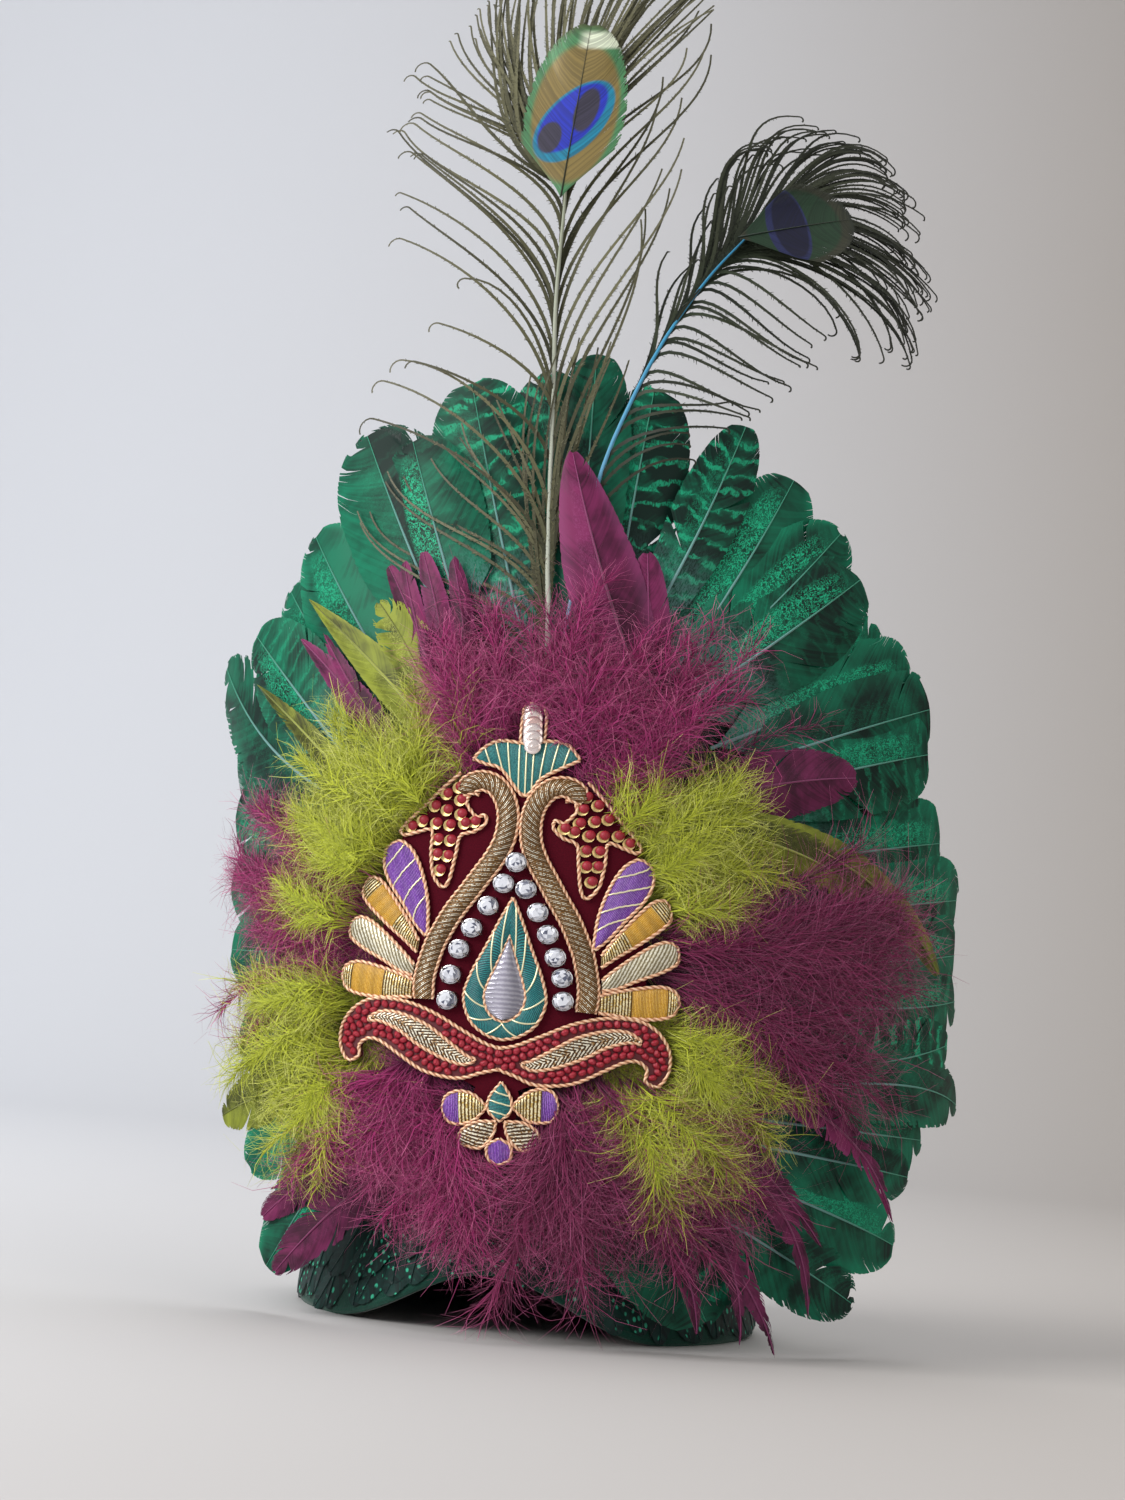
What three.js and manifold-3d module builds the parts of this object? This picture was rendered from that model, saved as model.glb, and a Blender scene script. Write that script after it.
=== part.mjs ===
// Feathered headdress: a hollow cloth cap carries a curved stiff panel, and on the panel are layers
// of green fan feathers, dyed quills, two peacock feathers, clumps of fluff and an embroidered patch.
// Millimetres, +Z up, the front faces -Y. The cap's rim rests on the plane z = 0.

import * as THREE from 'three';
import { mergeVertices } from 'three/addons/utils/BufferGeometryUtils.js';
import Module from 'manifold-3d';

const wasm = await Module();
wasm.setup();

// Cap
const HEAD_HALF_WIDTH = 77;
const HEAD_HALF_DEPTH = 93.4;
const CAP_WALL = 2.6;
const CAP_HEIGHT = 122;
const CAP_SQUARENESS = 2.4;
const CAP_SIDES = 32;
const BROW_RISE = 20;
const BROW_HALF_SPAN = 56;

// Spotted band around the brow
const BAND_HEIGHT = 45;
const BAND_THICKNESS = 1.6;
const BAND_STEPS = 7;

// Clear gap between pieces that lie on each other
const GAP = 0.35;

// Shield: the curved surface on which everything at the front is laid
const SHIELD_HALF_WIDTH = 142;
const SHIELD_DEPTH = 150;
const SHIELD_LEAN = 40;
const SHIELD_LEAN_START = 150;
const SHIELD_LEAN_SPAN = 200;

// Stiff panel behind the feathers
const PANEL_THICKNESS = 2;
const PANEL_HALF_WIDTH = 74;
const PANEL_TOP = 215;
const PANEL_SQUARENESS = 3.2;
const PANEL_ROWS = 10;
const PANEL_COLUMNS = 8;

// Fan of feathers, measured from one centre on the shield
const FAN_CENTRE = 130;
const FAN_REACH = 200;
const FEATHER_WIDTH = 34;
const FEATHER_THICKNESS = 1.7;
const LAYER_STEP = 2.4;
const ROOT_TAPE = 9;
const LONGEST_STEP = 22;

// Fluff: pads with tufts on them, whose spreads are in degrees
const PAD_THICKNESS = 2.6;
const PAD_WIDTH = 15;
const PAD_TUCK = 8;
const PAD_SPREAD = 10;
const TUFT_WIDTH = 15;
const TUFT_THICKNESS = 2.4;
const TUFT_RISE = 6.5;
const TUFT_SPREAD = 18;
const TUFT_ROOT_INSET = 5;
const TUFT_TIP_INSET = 1;
const TUFT_SWAY = 2;
const TUFT_UNEVENNESS = 0.13;

// Embroidered patch
const PATCH_HALF_WIDTH = 51;
const PATCH_HEIGHT = 146;
const PATCH_THICKNESS = 2.2;
const PATCH_GAP = 1.3;
const PATCH_SEARCH_STEPS = 150;
const RELIEF = 1.6;
const CORD_HEIGHT = 2.6;
const CORD_WIDTH = 5.2;
const STONE_RADIUS = 3.1;
const STONE_HEIGHT = 3.2;

// Peacock feathers
const PEACOCK_HEIGHT = 250;
const PEACOCK_TUCK = 8;
const SHAFT_RADIUS = 0.85;
const EYE_LENGTH = 50;
const EYE_THICKNESS = 1.8;
const STRAND_RADIUS = 0.7;

const CAP_FRONT = HEAD_HALF_DEPTH + CAP_WALL;
const SHIELD_FRONT = CAP_FRONT + GAP + BAND_THICKNESS + GAP + PANEL_THICKNESS;
const PAD_FLOOR = 4 * LAYER_STEP + GAP;
const PATCH_FLOOR = PAD_FLOOR + PAD_THICKNESS + PATCH_GAP;
const PATCH_FACE = PATCH_FLOOR + PATCH_THICKNESS;
const PATCH_BOTTOM = FAN_CENTRE - PATCH_HEIGHT / 2;
const PEACOCK_ROOT = PATCH_BOTTOM + PATCH_HEIGHT - PEACOCK_TUCK;

const rad = THREE.MathUtils.degToRad;
const mix = THREE.MathUtils.lerp;

function point(x, y, z) {
  return new THREE.Vector3(x, y, z);
}

// Closed solid through rings of equal length, with both ends capped.
function loft(rings) {
  const count = rings[0].length;
  const positions = rings.flat().flatMap((p) => [p.x, p.y, p.z]);
  const index = [];
  for (let r = 0; r < rings.length - 1; r++) {
    for (let i = 0; i < count; i++) {
      const j = (i + 1) % count;
      const a = r * count + i;
      const b = r * count + j;
      index.push(a, b, b + count, a, b + count, a + count);
    }
  }
  const last = (rings.length - 1) * count;
  for (let i = 1; i < count - 1; i++) {
    index.push(0, i + 1, i);
    index.push(last, last + i, last + i + 1);
  }
  const geometry = new THREE.BufferGeometry();
  geometry.setAttribute('position', new THREE.Float32BufferAttribute(positions, 3));
  geometry.setIndex(index);
  return facingOut(geometry);
}

function signedVolume(geometry) {
  const p = geometry.getAttribute('position');
  const index = geometry.getIndex().array;
  const [a, b, c] = [point(), point(), point()];
  let total = 0;
  for (let i = 0; i < index.length; i += 3) {
    a.fromBufferAttribute(p, index[i]);
    b.fromBufferAttribute(p, index[i + 1]);
    c.fromBufferAttribute(p, index[i + 2]);
    total += a.dot(b.cross(c));
  }
  return total / 6;
}

function facingOut(geometry) {
  if (signedVolume(geometry) >= 0) return geometry;
  const index = geometry.getIndex().array;
  for (let i = 0; i < index.length; i += 3) {
    [index[i + 1], index[i + 2]] = [index[i + 2], index[i + 1]];
  }
  return geometry;
}

function toSolid(geometry) {
  const bare = geometry.clone();
  bare.deleteAttribute('normal');
  bare.deleteAttribute('uv');
  const merged = mergeVertices(bare, 1e-5);
  const mesh = new wasm.Mesh({
    numProp: 3,
    vertProperties: new Float32Array(merged.getAttribute('position').array),
    triVerts: new Uint32Array(merged.getIndex().array),
  });
  return new wasm.Manifold(mesh);
}

function toGeometry(solid) {
  const mesh = solid.getMesh();
  const geometry = new THREE.BufferGeometry();
  geometry.setAttribute('position', new THREE.BufferAttribute(new Float32Array(mesh.vertProperties), 3));
  geometry.setIndex(new THREE.BufferAttribute(new Uint32Array(mesh.triVerts), 1));
  return geometry;
}

// Joins overlapping solids; pockets that they close off between them are filled.
function fuse(geometries) {
  if (geometries.length === 1) return geometries[0];
  const whole = geometries.map(toSolid).reduce((sum, next) => sum.add(next));
  const shells = whole.decompose().filter((shell) => shell.volume() > 0);
  return toGeometry(shells.length === 1 ? shells[0] : wasm.Manifold.compose(shells));
}

// The shield leans back from SHIELD_LEAN_START upward, more and more and then evenly.
function shieldLean(height) {
  const t = (height - SHIELD_LEAN_START) / SHIELD_LEAN_SPAN;
  if (t <= 0) return { back: 0, slope: 0 };
  if (t <= 1) return { back: SHIELD_LEAN * t * t, slope: 2 * SHIELD_LEAN * t / SHIELD_LEAN_SPAN };
  return { back: SHIELD_LEAN * (2 * t - 1), slope: 2 * SHIELD_LEAN / SHIELD_LEAN_SPAN };
}

// A point of the shield: across is measured along its curve from the middle, height is z, and off is
// the distance out of the shield's face.
function onShield(across, height, off) {
  const turn = across / SHIELD_HALF_WIDTH;
  const lean = shieldLean(height);
  const side = SHIELD_DEPTH * Math.sin(turn);
  const front = SHIELD_HALF_WIDTH * Math.cos(turn);
  const normal = point(side, -front, front * lean.slope).normalize();
  const y = -SHIELD_FRONT + SHIELD_DEPTH * (1 - Math.cos(turn)) + lean.back;
  return point(SHIELD_HALF_WIDTH * Math.sin(turn), y, height).addScaledVector(normal, off);
}

// Place on the fan: an angle from straight up, clockwise from the front, and a share of the reach.
function onFan(angle, share) {
  const reach = share * FAN_REACH;
  return { across: reach * Math.sin(rad(angle)), height: FAN_CENTRE + reach * Math.cos(rad(angle)) };
}

function layerMiddle(layer) {
  return GAP + FEATHER_THICKNESS / 2 + layer * LAYER_STEP;
}

function smoothCurve(points) {
  return new THREE.CatmullRomCurve3(points, false, 'centripetal');
}

// Points along a smooth line through places that hold across, height, off and half width.
function smoothLine(places, steps) {
  const route = smoothCurve(places.map((p) => point(p.across, p.height, p.off)));
  const sizes = smoothCurve(places.map((p, i) => point(p.half, i, 0)));
  const line = [];
  for (let i = 0; i <= steps; i++) {
    const t = i / steps;
    const p = route.getPoint(t);
    const d = route.getTangent(t);
    const size = Math.hypot(d.x, d.y) || 1;
    const half = sizes.getPoint(t).x;
    line.push({ across: p.x, height: p.y, off: p.z, half, side: [d.y / size, -d.x / size] });
  }
  return line;
}

// A flat feather blade or tuft along a line, thickest at its shaft and thin at its edges.
function blade(line, thickness) {
  const section = [[-1, 0], [0, thickness / 2], [1, 0], [0, -thickness / 2]];
  const rings = line.map((p) => section.map(([u, lift]) => onShield(
    p.across + u * p.half * p.side[0],
    p.height + u * p.half * p.side[1],
    p.off + lift,
  )));
  return loft(rings);
}

// A cushion of embroidery along a line: flat below, chamfered above.
function cushion(line, floor, rise) {
  const section = [[-1, 0], [-0.6, 1], [0.6, 1], [1, 0]];
  const rings = line.map((p) => section.map(([u, v]) => onShield(
    p.across + u * p.half * p.side[0],
    p.height + u * p.half * p.side[1],
    floor + v * rise,
  )));
  return loft(rings);
}

// Half width of a feather along its length: narrow root, widest past the middle, rounded tip.
function featherShare(t, tipShare) {
  const rise = 0.24 + 0.76 * Math.sin(Math.min(1, t / 0.62) * Math.PI / 2);
  const end = Math.max(0, (t - 1 + tipShare) / tipShare);
  return rise * Math.sqrt(Math.max(0.012, 1 - end * end));
}

function featherBlade(row, layer) {
  const root = onFan(row.rootAngle, row.root);
  const tip = onFan(row.tipAngle, row.tip);
  const run = [tip.across - root.across, tip.height - root.height];
  const length = Math.hypot(...run);
  const aside = [run[1] / length, -run[0] / length];
  const even = Math.ceil(length * (1 - row.point / 2) / LONGEST_STEP);
  const stops = [];
  for (let i = 0; i <= even; i++) stops.push(i / even * (1 - row.point / 2));
  stops.push(1 - row.point / 5, 1);
  const line = stops.map((t) => {
    const bow = 4 * t * (1 - t) * row.bow * length;
    const slant = 4 * (1 - 2 * t) * row.bow;
    const along = [run[0] / length + aside[0] * slant, run[1] / length + aside[1] * slant];
    const size = Math.hypot(...along);
    return {
      across: root.across + run[0] * t + aside[0] * bow,
      height: root.height + run[1] * t + aside[1] * bow,
      off: layerMiddle(layer),
      half: FEATHER_WIDTH / 2 * row.width * featherShare(t, row.point),
      side: [along[1] / size, -along[0] / size],
    };
  });
  return blade(line, FEATHER_THICKNESS);
}

// Tape that holds the roots of one group of feathers together, in their own layer.
function rootTape(rows) {
  const places = rows.map((row) => ({
    ...onFan(mix(row.rootAngle, row.tipAngle, 0.1), row.root + ROOT_TAPE / FAN_REACH),
    off: layerMiddle(rows[0].layer),
    half: ROOT_TAPE / 2,
  }));
  return blade(smoothLine(places, 2 * rows.length), FEATHER_THICKNESS * 0.9);
}

// Every feather of the fan and the single dyed feathers in front of it. Angles are in degrees from
// straight up, clockwise; root and tip are shares of FAN_REACH and width of FEATHER_WIDTH. Point is
// the share of the length taken by the tip, and bow bends the feather clockwise by a share of it.
const FEATHERS = [
  // node, layer, rootAngle, root, tipAngle, tip, width, point, bow
  ['feather_top_1', 1, -3, 0.46, -11, 0.96, 1.1, 0.3, 0],
  ['feather_top_2', 0, 1, 0.46, -3, 0.97, 0.86, 0.35, 0],
  ['feather_top_3', 1, 6.5, 0.48, 1.5, 1.005, 0.66, 0.35, 0],
  ['feather_top_4', 0, 12, 0.5, 7.7, 0.965, 0.86, 0.35, 0],
  ['feather_top_5', 2, 16.8, 0.53, 17.7, 0.94, 0.62, 0.4, 0.02],
  ['feather_left_1', 2, -17.6, 0.5, -23.6, 0.925, 1, 0.32, 0],
  ['feather_left_1', 2, -14.3, 0.5, -18, 0.875, 0.84, 0.35, 0],
  ['feather_left_2', 1, -31, 0.44, -35, 0.81, 0.9, 0.45, 0],
  ['feather_left_3', 0, -40, 0.42, -42.8, 0.78, 0.84, 0.5, 0],
  ['feather_left_4', 2, -49, 0.41, -50, 0.76, 0.76, 0.5, 0.02],
  ['feather_left_5', 1, -58, 0.4, -57, 0.86, 0.72, 0.45, -0.06],
  ['feather_left_6', 0, -68, 0.34, -63, 0.71, 0.84, 0.45, -0.03],
  ['feather_left_6', 0, -75, 0.31, -71.5, 0.65, 0.8, 0.5, -0.03],
  ['feather_left_7', 2, -91, 0.27, -83, 0.575, 0.8, 0.5, 0],
  ['feather_left_7', 2, -101, 0.27, -95.6, 0.55, 0.8, 0.5, 0],
  ['feather_left_7', 2, -119, 0.3, -113, 0.54, 0.8, 0.5, 0],
  ['feather_left_7', 2, -130, 0.33, -133, 0.61, 0.7, 0.5, 0],
  ['feather_left_7', 2, -143, 0.35, -146, 0.7, 0.66, 0.5, 0],
  ['feather_right_1', 1, 26, 0.48, 25.5, 0.9, 1, 0.5, 0.03],
  ['feather_right_2', 2, 29, 0.47, 33.6, 0.875, 0.94, 0.3, 0],
  ['feather_right_3', 0, 33, 0.46, 39.6, 0.855, 0.84, 0.3, 0],
  ['feather_right_4', 1, 38.7, 0.445, 48, 0.83, 0.84, 0.3, -0.02],
  ['feather_right_5', 2, 44, 0.43, 56, 0.86, 0.8, 0.34, -0.02],
  ['feather_right_5', 2, 50, 0.405, 62.6, 0.815, 0.7, 0.34, -0.02],
  ['feather_right_6', 0, 60, 0.395, 68, 0.815, 0.74, 0.36, -0.02],
  ['feather_right_6', 0, 68, 0.37, 75, 0.86, 0.74, 0.3, -0.02],
  ['feather_right_7', 1, 82, 0.36, 81, 0.925, 0.74, 0.3, -0.02],
  ['feather_right_7', 1, 92, 0.36, 87, 0.915, 0.74, 0.3, 0],
  ['feather_right_7', 1, 100, 0.37, 92, 0.93, 0.7, 0.3, 0.02],
  ['feather_right_8', 2, 115, 0.42, 97, 0.9, 0.66, 0.4, 0.02],
  ['feather_right_8', 2, 120, 0.44, 101.5, 0.98, 0.66, 0.4, -0.04],
  ['feather_right_9', 0, 124, 0.46, 108, 0.9, 0.8, 0.4, 0],
  ['feather_right_9', 0, 129, 0.47, 113, 0.88, 0.6, 0.4, 0],
  ['feather_right_9', 0, 134, 0.49, 120.5, 0.91, 0.8, 0.4, 0],
  ['feather_right_9', 0, 142, 0.5, 130, 0.87, 0.66, 0.4, 0],
  ['magenta_quill_centre', 3, 10.5, 0.4, 0.8, 0.81, 0.64, 0.7, 0],
  ['magenta_quill_centre', 3, 13, 0.4, 14, 0.6, 0.36, 0.7, 0],
  ['magenta_blade_right', 3, 52, 0.4, 61, 0.65, 0.5, 0.7, -0.04],
  ['magenta_blades_lower', 3, 118, 0.44, 116.5, 0.8, 0.44, 0.8, -0.04],
  ['magenta_blades_lower', 3, 126, 0.46, 127, 0.66, 0.6, 0.7, 0.04],
  ['magenta_blades_lower', 3, 134, 0.46, 134.5, 0.8, 0.6, 0.7, 0.03],
  ['lime_vane_left', 3, -23, 0.33, -37, 0.69, 0.72, 0.8, 0.03],
  ['lime_hackles_right', 3, 56, 0.36, 88.5, 0.79, 0.26, 0.8, -0.1],
  ['lime_hackles_right', 3, 62, 0.36, 83, 0.57, 0.36, 0.8, -0.08],
];
const FEATHER_COLUMNS = ['node', 'layer', 'rootAngle', 'root', 'tipAngle', 'tip', 'width', 'point', 'bow'];

function namedRows(table, columns) {
  return table.map((row) => Object.fromEntries(columns.map((name, i) => [name, row[i]])));
}

// Cap: an oval dome with a raised brow, open below.
function capFactor(share) {
  return Math.pow(Math.max(0, 1 - Math.pow(share, CAP_SQUARENESS)), 1 / CAP_SQUARENESS);
}

function capEdge(turn) {
  const across = HEAD_HALF_WIDTH * Math.sin(turn);
  if (Math.cos(turn) < 0 || Math.abs(across) > BROW_HALF_SPAN) return 0;
  return BROW_RISE * Math.cos(across / BROW_HALF_SPAN * Math.PI / 2) ** 2;
}

// Point of the dome at a turn from the front and a height, grown outward from the head's size.
function onCap(turn, height, grow) {
  const factor = capFactor(height / (CAP_HEIGHT - CAP_WALL + grow));
  return point(
    (HEAD_HALF_WIDTH + grow) * factor * Math.sin(turn),
    -(HEAD_HALF_DEPTH + grow) * factor * Math.cos(turn),
    height,
  );
}

// Heights of the cap's rows of facets, as shares of its height.
const CAP_LEVELS = [0.24, 0.46, 0.66, 0.83, 0.95, 0.998];

function buildCap() {
  const turns = Array.from({ length: CAP_SIDES }, (_, i) => i / CAP_SIDES * 2 * Math.PI);
  const ring = (level, grow) => turns.map((turn) => onCap(turn, level * (CAP_HEIGHT - CAP_WALL + grow), grow));
  const shell = (grow) => [
    turns.map((turn) => onCap(turn, capEdge(turn), grow)),
    ...CAP_LEVELS.map((level) => ring(level, grow)),
  ];
  return loft([...shell(CAP_WALL).reverse(), ...shell(0)]);
}

function buildBand() {
  const rings = [];
  const inner = CAP_WALL + GAP;
  const outer = inner + BAND_THICKNESS;
  for (let i = -BAND_STEPS; i <= BAND_STEPS; i++) {
    const turn = i / CAP_SIDES * 2 * Math.PI;
    const low = capEdge(turn);
    const bend = CAP_LEVELS[0] * CAP_HEIGHT;
    rings.push([
      onCap(turn, bend, inner), onCap(turn, BAND_HEIGHT, inner), onCap(turn, BAND_HEIGHT, outer),
      onCap(turn, bend, outer), onCap(turn, low, outer), onCap(turn, low, inner),
    ]);
  }
  return loft(rings);
}

function buildPanel() {
  const bottom = BAND_HEIGHT + GAP * 2;
  const rings = [];
  for (let r = 0; r <= PANEL_ROWS; r++) {
    const t = r / PANEL_ROWS;
    const left = Math.max(0.02, 1 - Math.abs(2 * t - 1) ** PANEL_SQUARENESS);
    const half = PANEL_HALF_WIDTH * left ** (1 / PANEL_SQUARENESS);
    const height = mix(bottom, PANEL_TOP, t);
    const across = Array.from({ length: PANEL_COLUMNS + 1 }, (_, i) => mix(-half, half, i / PANEL_COLUMNS));
    rings.push([
      ...across.map((x) => onShield(x, height, 0)),
      ...across.reverse().map((x) => onShield(x, height, -PANEL_THICKNESS)),
    ]);
  }
  return loft(rings);
}

// Outline of the patch: half widths as shares of PATCH_HALF_WIDTH at shares of PATCH_HEIGHT.
const PATCH_OUTLINE = namedRows([
  [0, 0.06], [0.035, 0.14], [0.08, 0.27], [0.12, 0.36], [0.15, 0.33], [0.165, 0.24],
  [0.18, 0.8], [0.25, 0.97], [0.315, 0.88], [0.34, 1], [0.42, 0.97], [0.5, 0.98],
  [0.565, 0.94], [0.615, 0.88], [0.66, 0.75], [0.71, 0.72], [0.76, 0.6], [0.84, 0.44],
  [0.875, 0.2], [0.89, 0.33], [0.92, 0.3], [0.93, 0.1], [0.98, 0.09], [1, 0.04],
], ['height', 'half']);

function onPatch(across, height, off = 0) {
  return { across: across * PATCH_HALF_WIDTH, height: PATCH_BOTTOM + height * PATCH_HEIGHT, off };
}

function patchHalfWidth(height) {
  const share = (height - PATCH_BOTTOM) / PATCH_HEIGHT;
  if (share <= 0 || share >= 1) return 0;
  const i = PATCH_OUTLINE.findIndex((row) => row.height >= share);
  const [a, b] = [PATCH_OUTLINE[i - 1], PATCH_OUTLINE[i]];
  return PATCH_HALF_WIDTH * mix(a.half, b.half, (share - a.height) / (b.height - a.height));
}

// Distance from the fan's centre to the patch's outline along an angle.
function patchReach(angle) {
  const [s, c] = [Math.sin(rad(angle)), Math.cos(rad(angle))];
  const step = PATCH_HEIGHT / PATCH_SEARCH_STEPS;
  let reach = 0;
  for (let r = step; r < PATCH_HEIGHT; r += step) {
    if (Math.abs(r * s) <= patchHalfWidth(FAN_CENTRE + r * c)) reach = r;
  }
  return reach;
}

// Reach that clears the outline for a band of angles to both sides.
function clearReach(angle, spread) {
  return Math.max(...[-1, -0.5, 0, 0.5, 1].map((k) => patchReach(angle + k * spread)));
}

// Clumps of fluff around the patch. Angles are in degrees from straight up, clockwise; reach is the
// mean tip of the tufts as a share of FAN_REACH, and rise how far they stand out of the pad as a
// share of TUFT_RISE.
const PLUMES = namedRows([
  ['magenta_plume_top_left', -24, -2.5, 0.6, 0.23, 4],
  ['magenta_plume_top_right', 2.5, 36, 0.6, 0.23, 5],
  ['lime_plume_upper_right', 38, 75, 0.46, 1, 5],
  ['magenta_plume_right', 77, 110, 0.64, 0.23, 5],
  ['lime_plume_lower_right', 112, 148, 0.54, 1, 5],
  ['magenta_plume_brow_right', 150, 179, 0.54, 0.23, 5],
  ['magenta_plume_brow_left', 181, 216, 0.5, 0.23, 5],
  ['lime_plume_lower_left', 218, 252, 0.56, 1, 5],
  ['magenta_plume_left', 254, 292, 0.56, 0.23, 5],
  ['lime_plume_upper_left', 294, 334, 0.5, 1, 5],
], ['node', 'from', 'to', 'reach', 'rise', 'tufts']);

// An even spread of values between -1 and 1 that looks unordered.
function scatter(i, k) {
  const value = Math.sin(i * 12.9898 + k * 78.233) * 43758.5453;
  return 2 * (value - Math.floor(value)) - 1;
}

function plumePad(row) {
  const steps = 4;
  const rings = [];
  for (let i = 0; i <= steps; i++) {
    const angle = mix(row.from, row.to, i / steps);
    const edge = patchReach(angle);
    const low = Math.max(0.3 * edge, edge - PAD_TUCK);
    const high = clearReach(angle, PAD_SPREAD) + PAD_WIDTH * (1 - 0.3 * Math.abs(2 * i / steps - 1));
    rings.push([[low, 0], [high, 0], [high, 1], [low, 1]].map(([reach, k]) => {
      const place = onFan(angle, reach / FAN_REACH);
      return onShield(place.across, place.height, PAD_FLOOR + k * PAD_THICKNESS);
    }));
  }
  return loft(rings);
}

function plumeTuft(row, i) {
  const t = (i + 0.5) / row.tufts;
  const start = mix(row.from + TUFT_ROOT_INSET, row.to - TUFT_ROOT_INSET, t);
  const sway = TUFT_SWAY * scatter(i, row.from);
  const end = mix(row.from + TUFT_TIP_INSET, row.to - TUFT_TIP_INSET, t) + sway;
  const base = clearReach(start, TUFT_SPREAD) + TUFT_WIDTH / 2;
  const middle = PAD_FLOOR + PAD_THICKNESS / 2;
  const reach = row.reach * FAN_REACH * (1 + TUFT_UNEVENNESS * scatter(i, row.to));
  const tip = Math.max(reach, base + PAD_WIDTH * 1.4);
  const rise = row.rise * TUFT_RISE;
  const stops = [
    [start, base, middle, 0.6],
    [mix(start, end, 0.5), mix(base, tip, 0.55), middle + rise, 1],
    [end, tip, middle + rise * 0.8, 0.15],
  ];
  const line = stops.map(([angle, distance, off, width]) => {
    const place = onFan(angle, distance / FAN_REACH);
    return {
      ...place,
      off,
      half: TUFT_WIDTH / 2 * width,
      side: [Math.cos(rad(angle)), -Math.sin(rad(angle))],
    };
  });
  return blade(line, TUFT_THICKNESS);
}

function buildPlume(row) {
  const tufts = Array.from({ length: row.tufts }, (_, i) => plumeTuft(row, i));
  return fuse([plumePad(row), ...tufts]);
}

function buildGround() {
  const columns = 4;
  const rings = PATCH_OUTLINE.map((row) => {
    const across = Array.from({ length: columns + 1 }, (_, i) => mix(-row.half, row.half, i / columns));
    const place = (x, off) => {
      const spot = onPatch(x, row.height);
      return onShield(spot.across, spot.height, off);
    };
    return [...across.map((x) => place(x, PATCH_FACE)), ...across.reverse().map((x) => place(x, PATCH_FLOOR))];
  });
  return loft(rings);
}

// Raised motifs worked into the ground: each runs from an inner to an outer place, with the half
// width at its inner end, middle and outer end. All are shares of the patch's two sizes.
const MOTIFS = namedRows([
  ['upper petal', 0.52, 0.535, 0.69, 0.665, 0.05, 0.085, 0.05],
  ['second petal', 0.55, 0.475, 0.86, 0.585, 0.05, 0.085, 0.06],
  ['third petal', 0.58, 0.425, 0.93, 0.49, 0.05, 0.085, 0.06],
  ['lowest petal', 0.58, 0.36, 0.95, 0.375, 0.05, 0.085, 0.06],
  ['bead cluster', 0.3, 0.64, 0.42, 0.8, 0.03, 0.13, 0.06],
  ['leaf half', 0, 0.885, 0.3, 0.905, 0.07, 0.06, 0.02],
  ['flower bud', 0.1, 0.13, 0.3, 0.13, 0.03, 0.06, 0.04],
  ['flower petal', 0.03, 0.1, 0.17, 0.06, 0.03, 0.06, 0.04],
], ['motif', 'inner', 'innerUp', 'outer', 'outerUp', 'root', 'middle', 'end']);

function buildMotif(row, mirror) {
  const place = (t, half) => ({
    ...onPatch(mirror * mix(row.inner, row.outer, t), mix(row.innerUp, row.outerUp, t)),
    half: half * PATCH_HALF_WIDTH,
  });
  const places = [place(0, row.root), place(0.55, row.middle), place(1, row.end)];
  return cushion(smoothLine(places, 2), PATCH_FACE - RELIEF, 2 * RELIEF);
}

function buildPatch() {
  const motifs = MOTIFS.flatMap((row) => [buildMotif(row, 1), buildMotif(row, -1)]);
  return fuse([buildGround(), ...motifs]);
}

// The gold scroll from its curled top to its foot, and half of the red scroll from the middle to
// its hook. Across and up are shares of the patch's two sizes and half is a share of CORD_WIDTH.
const GOLD_SCROLL = namedRows([
  [0.33, 0.82, 0.4], [0.22, 0.84, 0.5], [0.1, 0.81, 0.5], [0.068, 0.765, 0.5], [0.078, 0.715, 0.5],
  [0.19, 0.635, 0.5], [0.335, 0.55, 0.5], [0.435, 0.468, 0.5], [0.475, 0.4, 0.5], [0.465, 0.345, 0.5],
], ['across', 'up', 'half']);
const RED_SCROLL = namedRows([
  [-0.02, 0.222, 1.3], [0.24, 0.222, 1.3], [0.47, 0.26, 1.2], [0.66, 0.285, 1.1], [0.8, 0.275, 0.85],
  [0.89, 0.245, 0.6], [0.89, 0.21, 0.45], [0.83, 0.195, 0.3],
], ['across', 'up', 'half']);

function scroll(table, mirror, steps) {
  const places = table.map((row) => ({ ...onPatch(mirror * row.across, row.up), half: row.half * CORD_WIDTH }));
  return cushion(smoothLine(places, steps), PATCH_FACE + GAP, CORD_HEIGHT);
}

// A drop: pointed at its top and round below, as shares along its length.
const DROP = namedRows([
  [0, 0.06], [0.15, 0.25], [0.35, 0.55], [0.55, 0.86], [0.72, 1], [0.88, 0.8], [1, 0.3],
], ['along', 'half']);
const TEAL_DROP = { top: 0.59, foot: 0.275, half: 0.235 };
const SILVER_DROP = { top: 0.5, foot: 0.318, half: 0.115 };

function drop(size, floor, rise) {
  const line = DROP.map((row) => ({
    ...onPatch(0, mix(size.top, size.foot, row.along)),
    half: row.half * size.half * PATCH_HALF_WIDTH,
    side: [1, 0],
  }));
  return cushion(line, floor, rise);
}

function buildTealDrop() {
  const ring = toSolid(drop(TEAL_DROP, PATCH_FACE + GAP, CORD_HEIGHT));
  const grown = { top: SILVER_DROP.top + 0.012, foot: SILVER_DROP.foot - 0.012, half: SILVER_DROP.half + 0.02 };
  const hole = toSolid(drop(grown, PATCH_FACE - CORD_HEIGHT, 4 * CORD_HEIGHT));
  return toGeometry(ring.subtract(hole));
}

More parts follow.
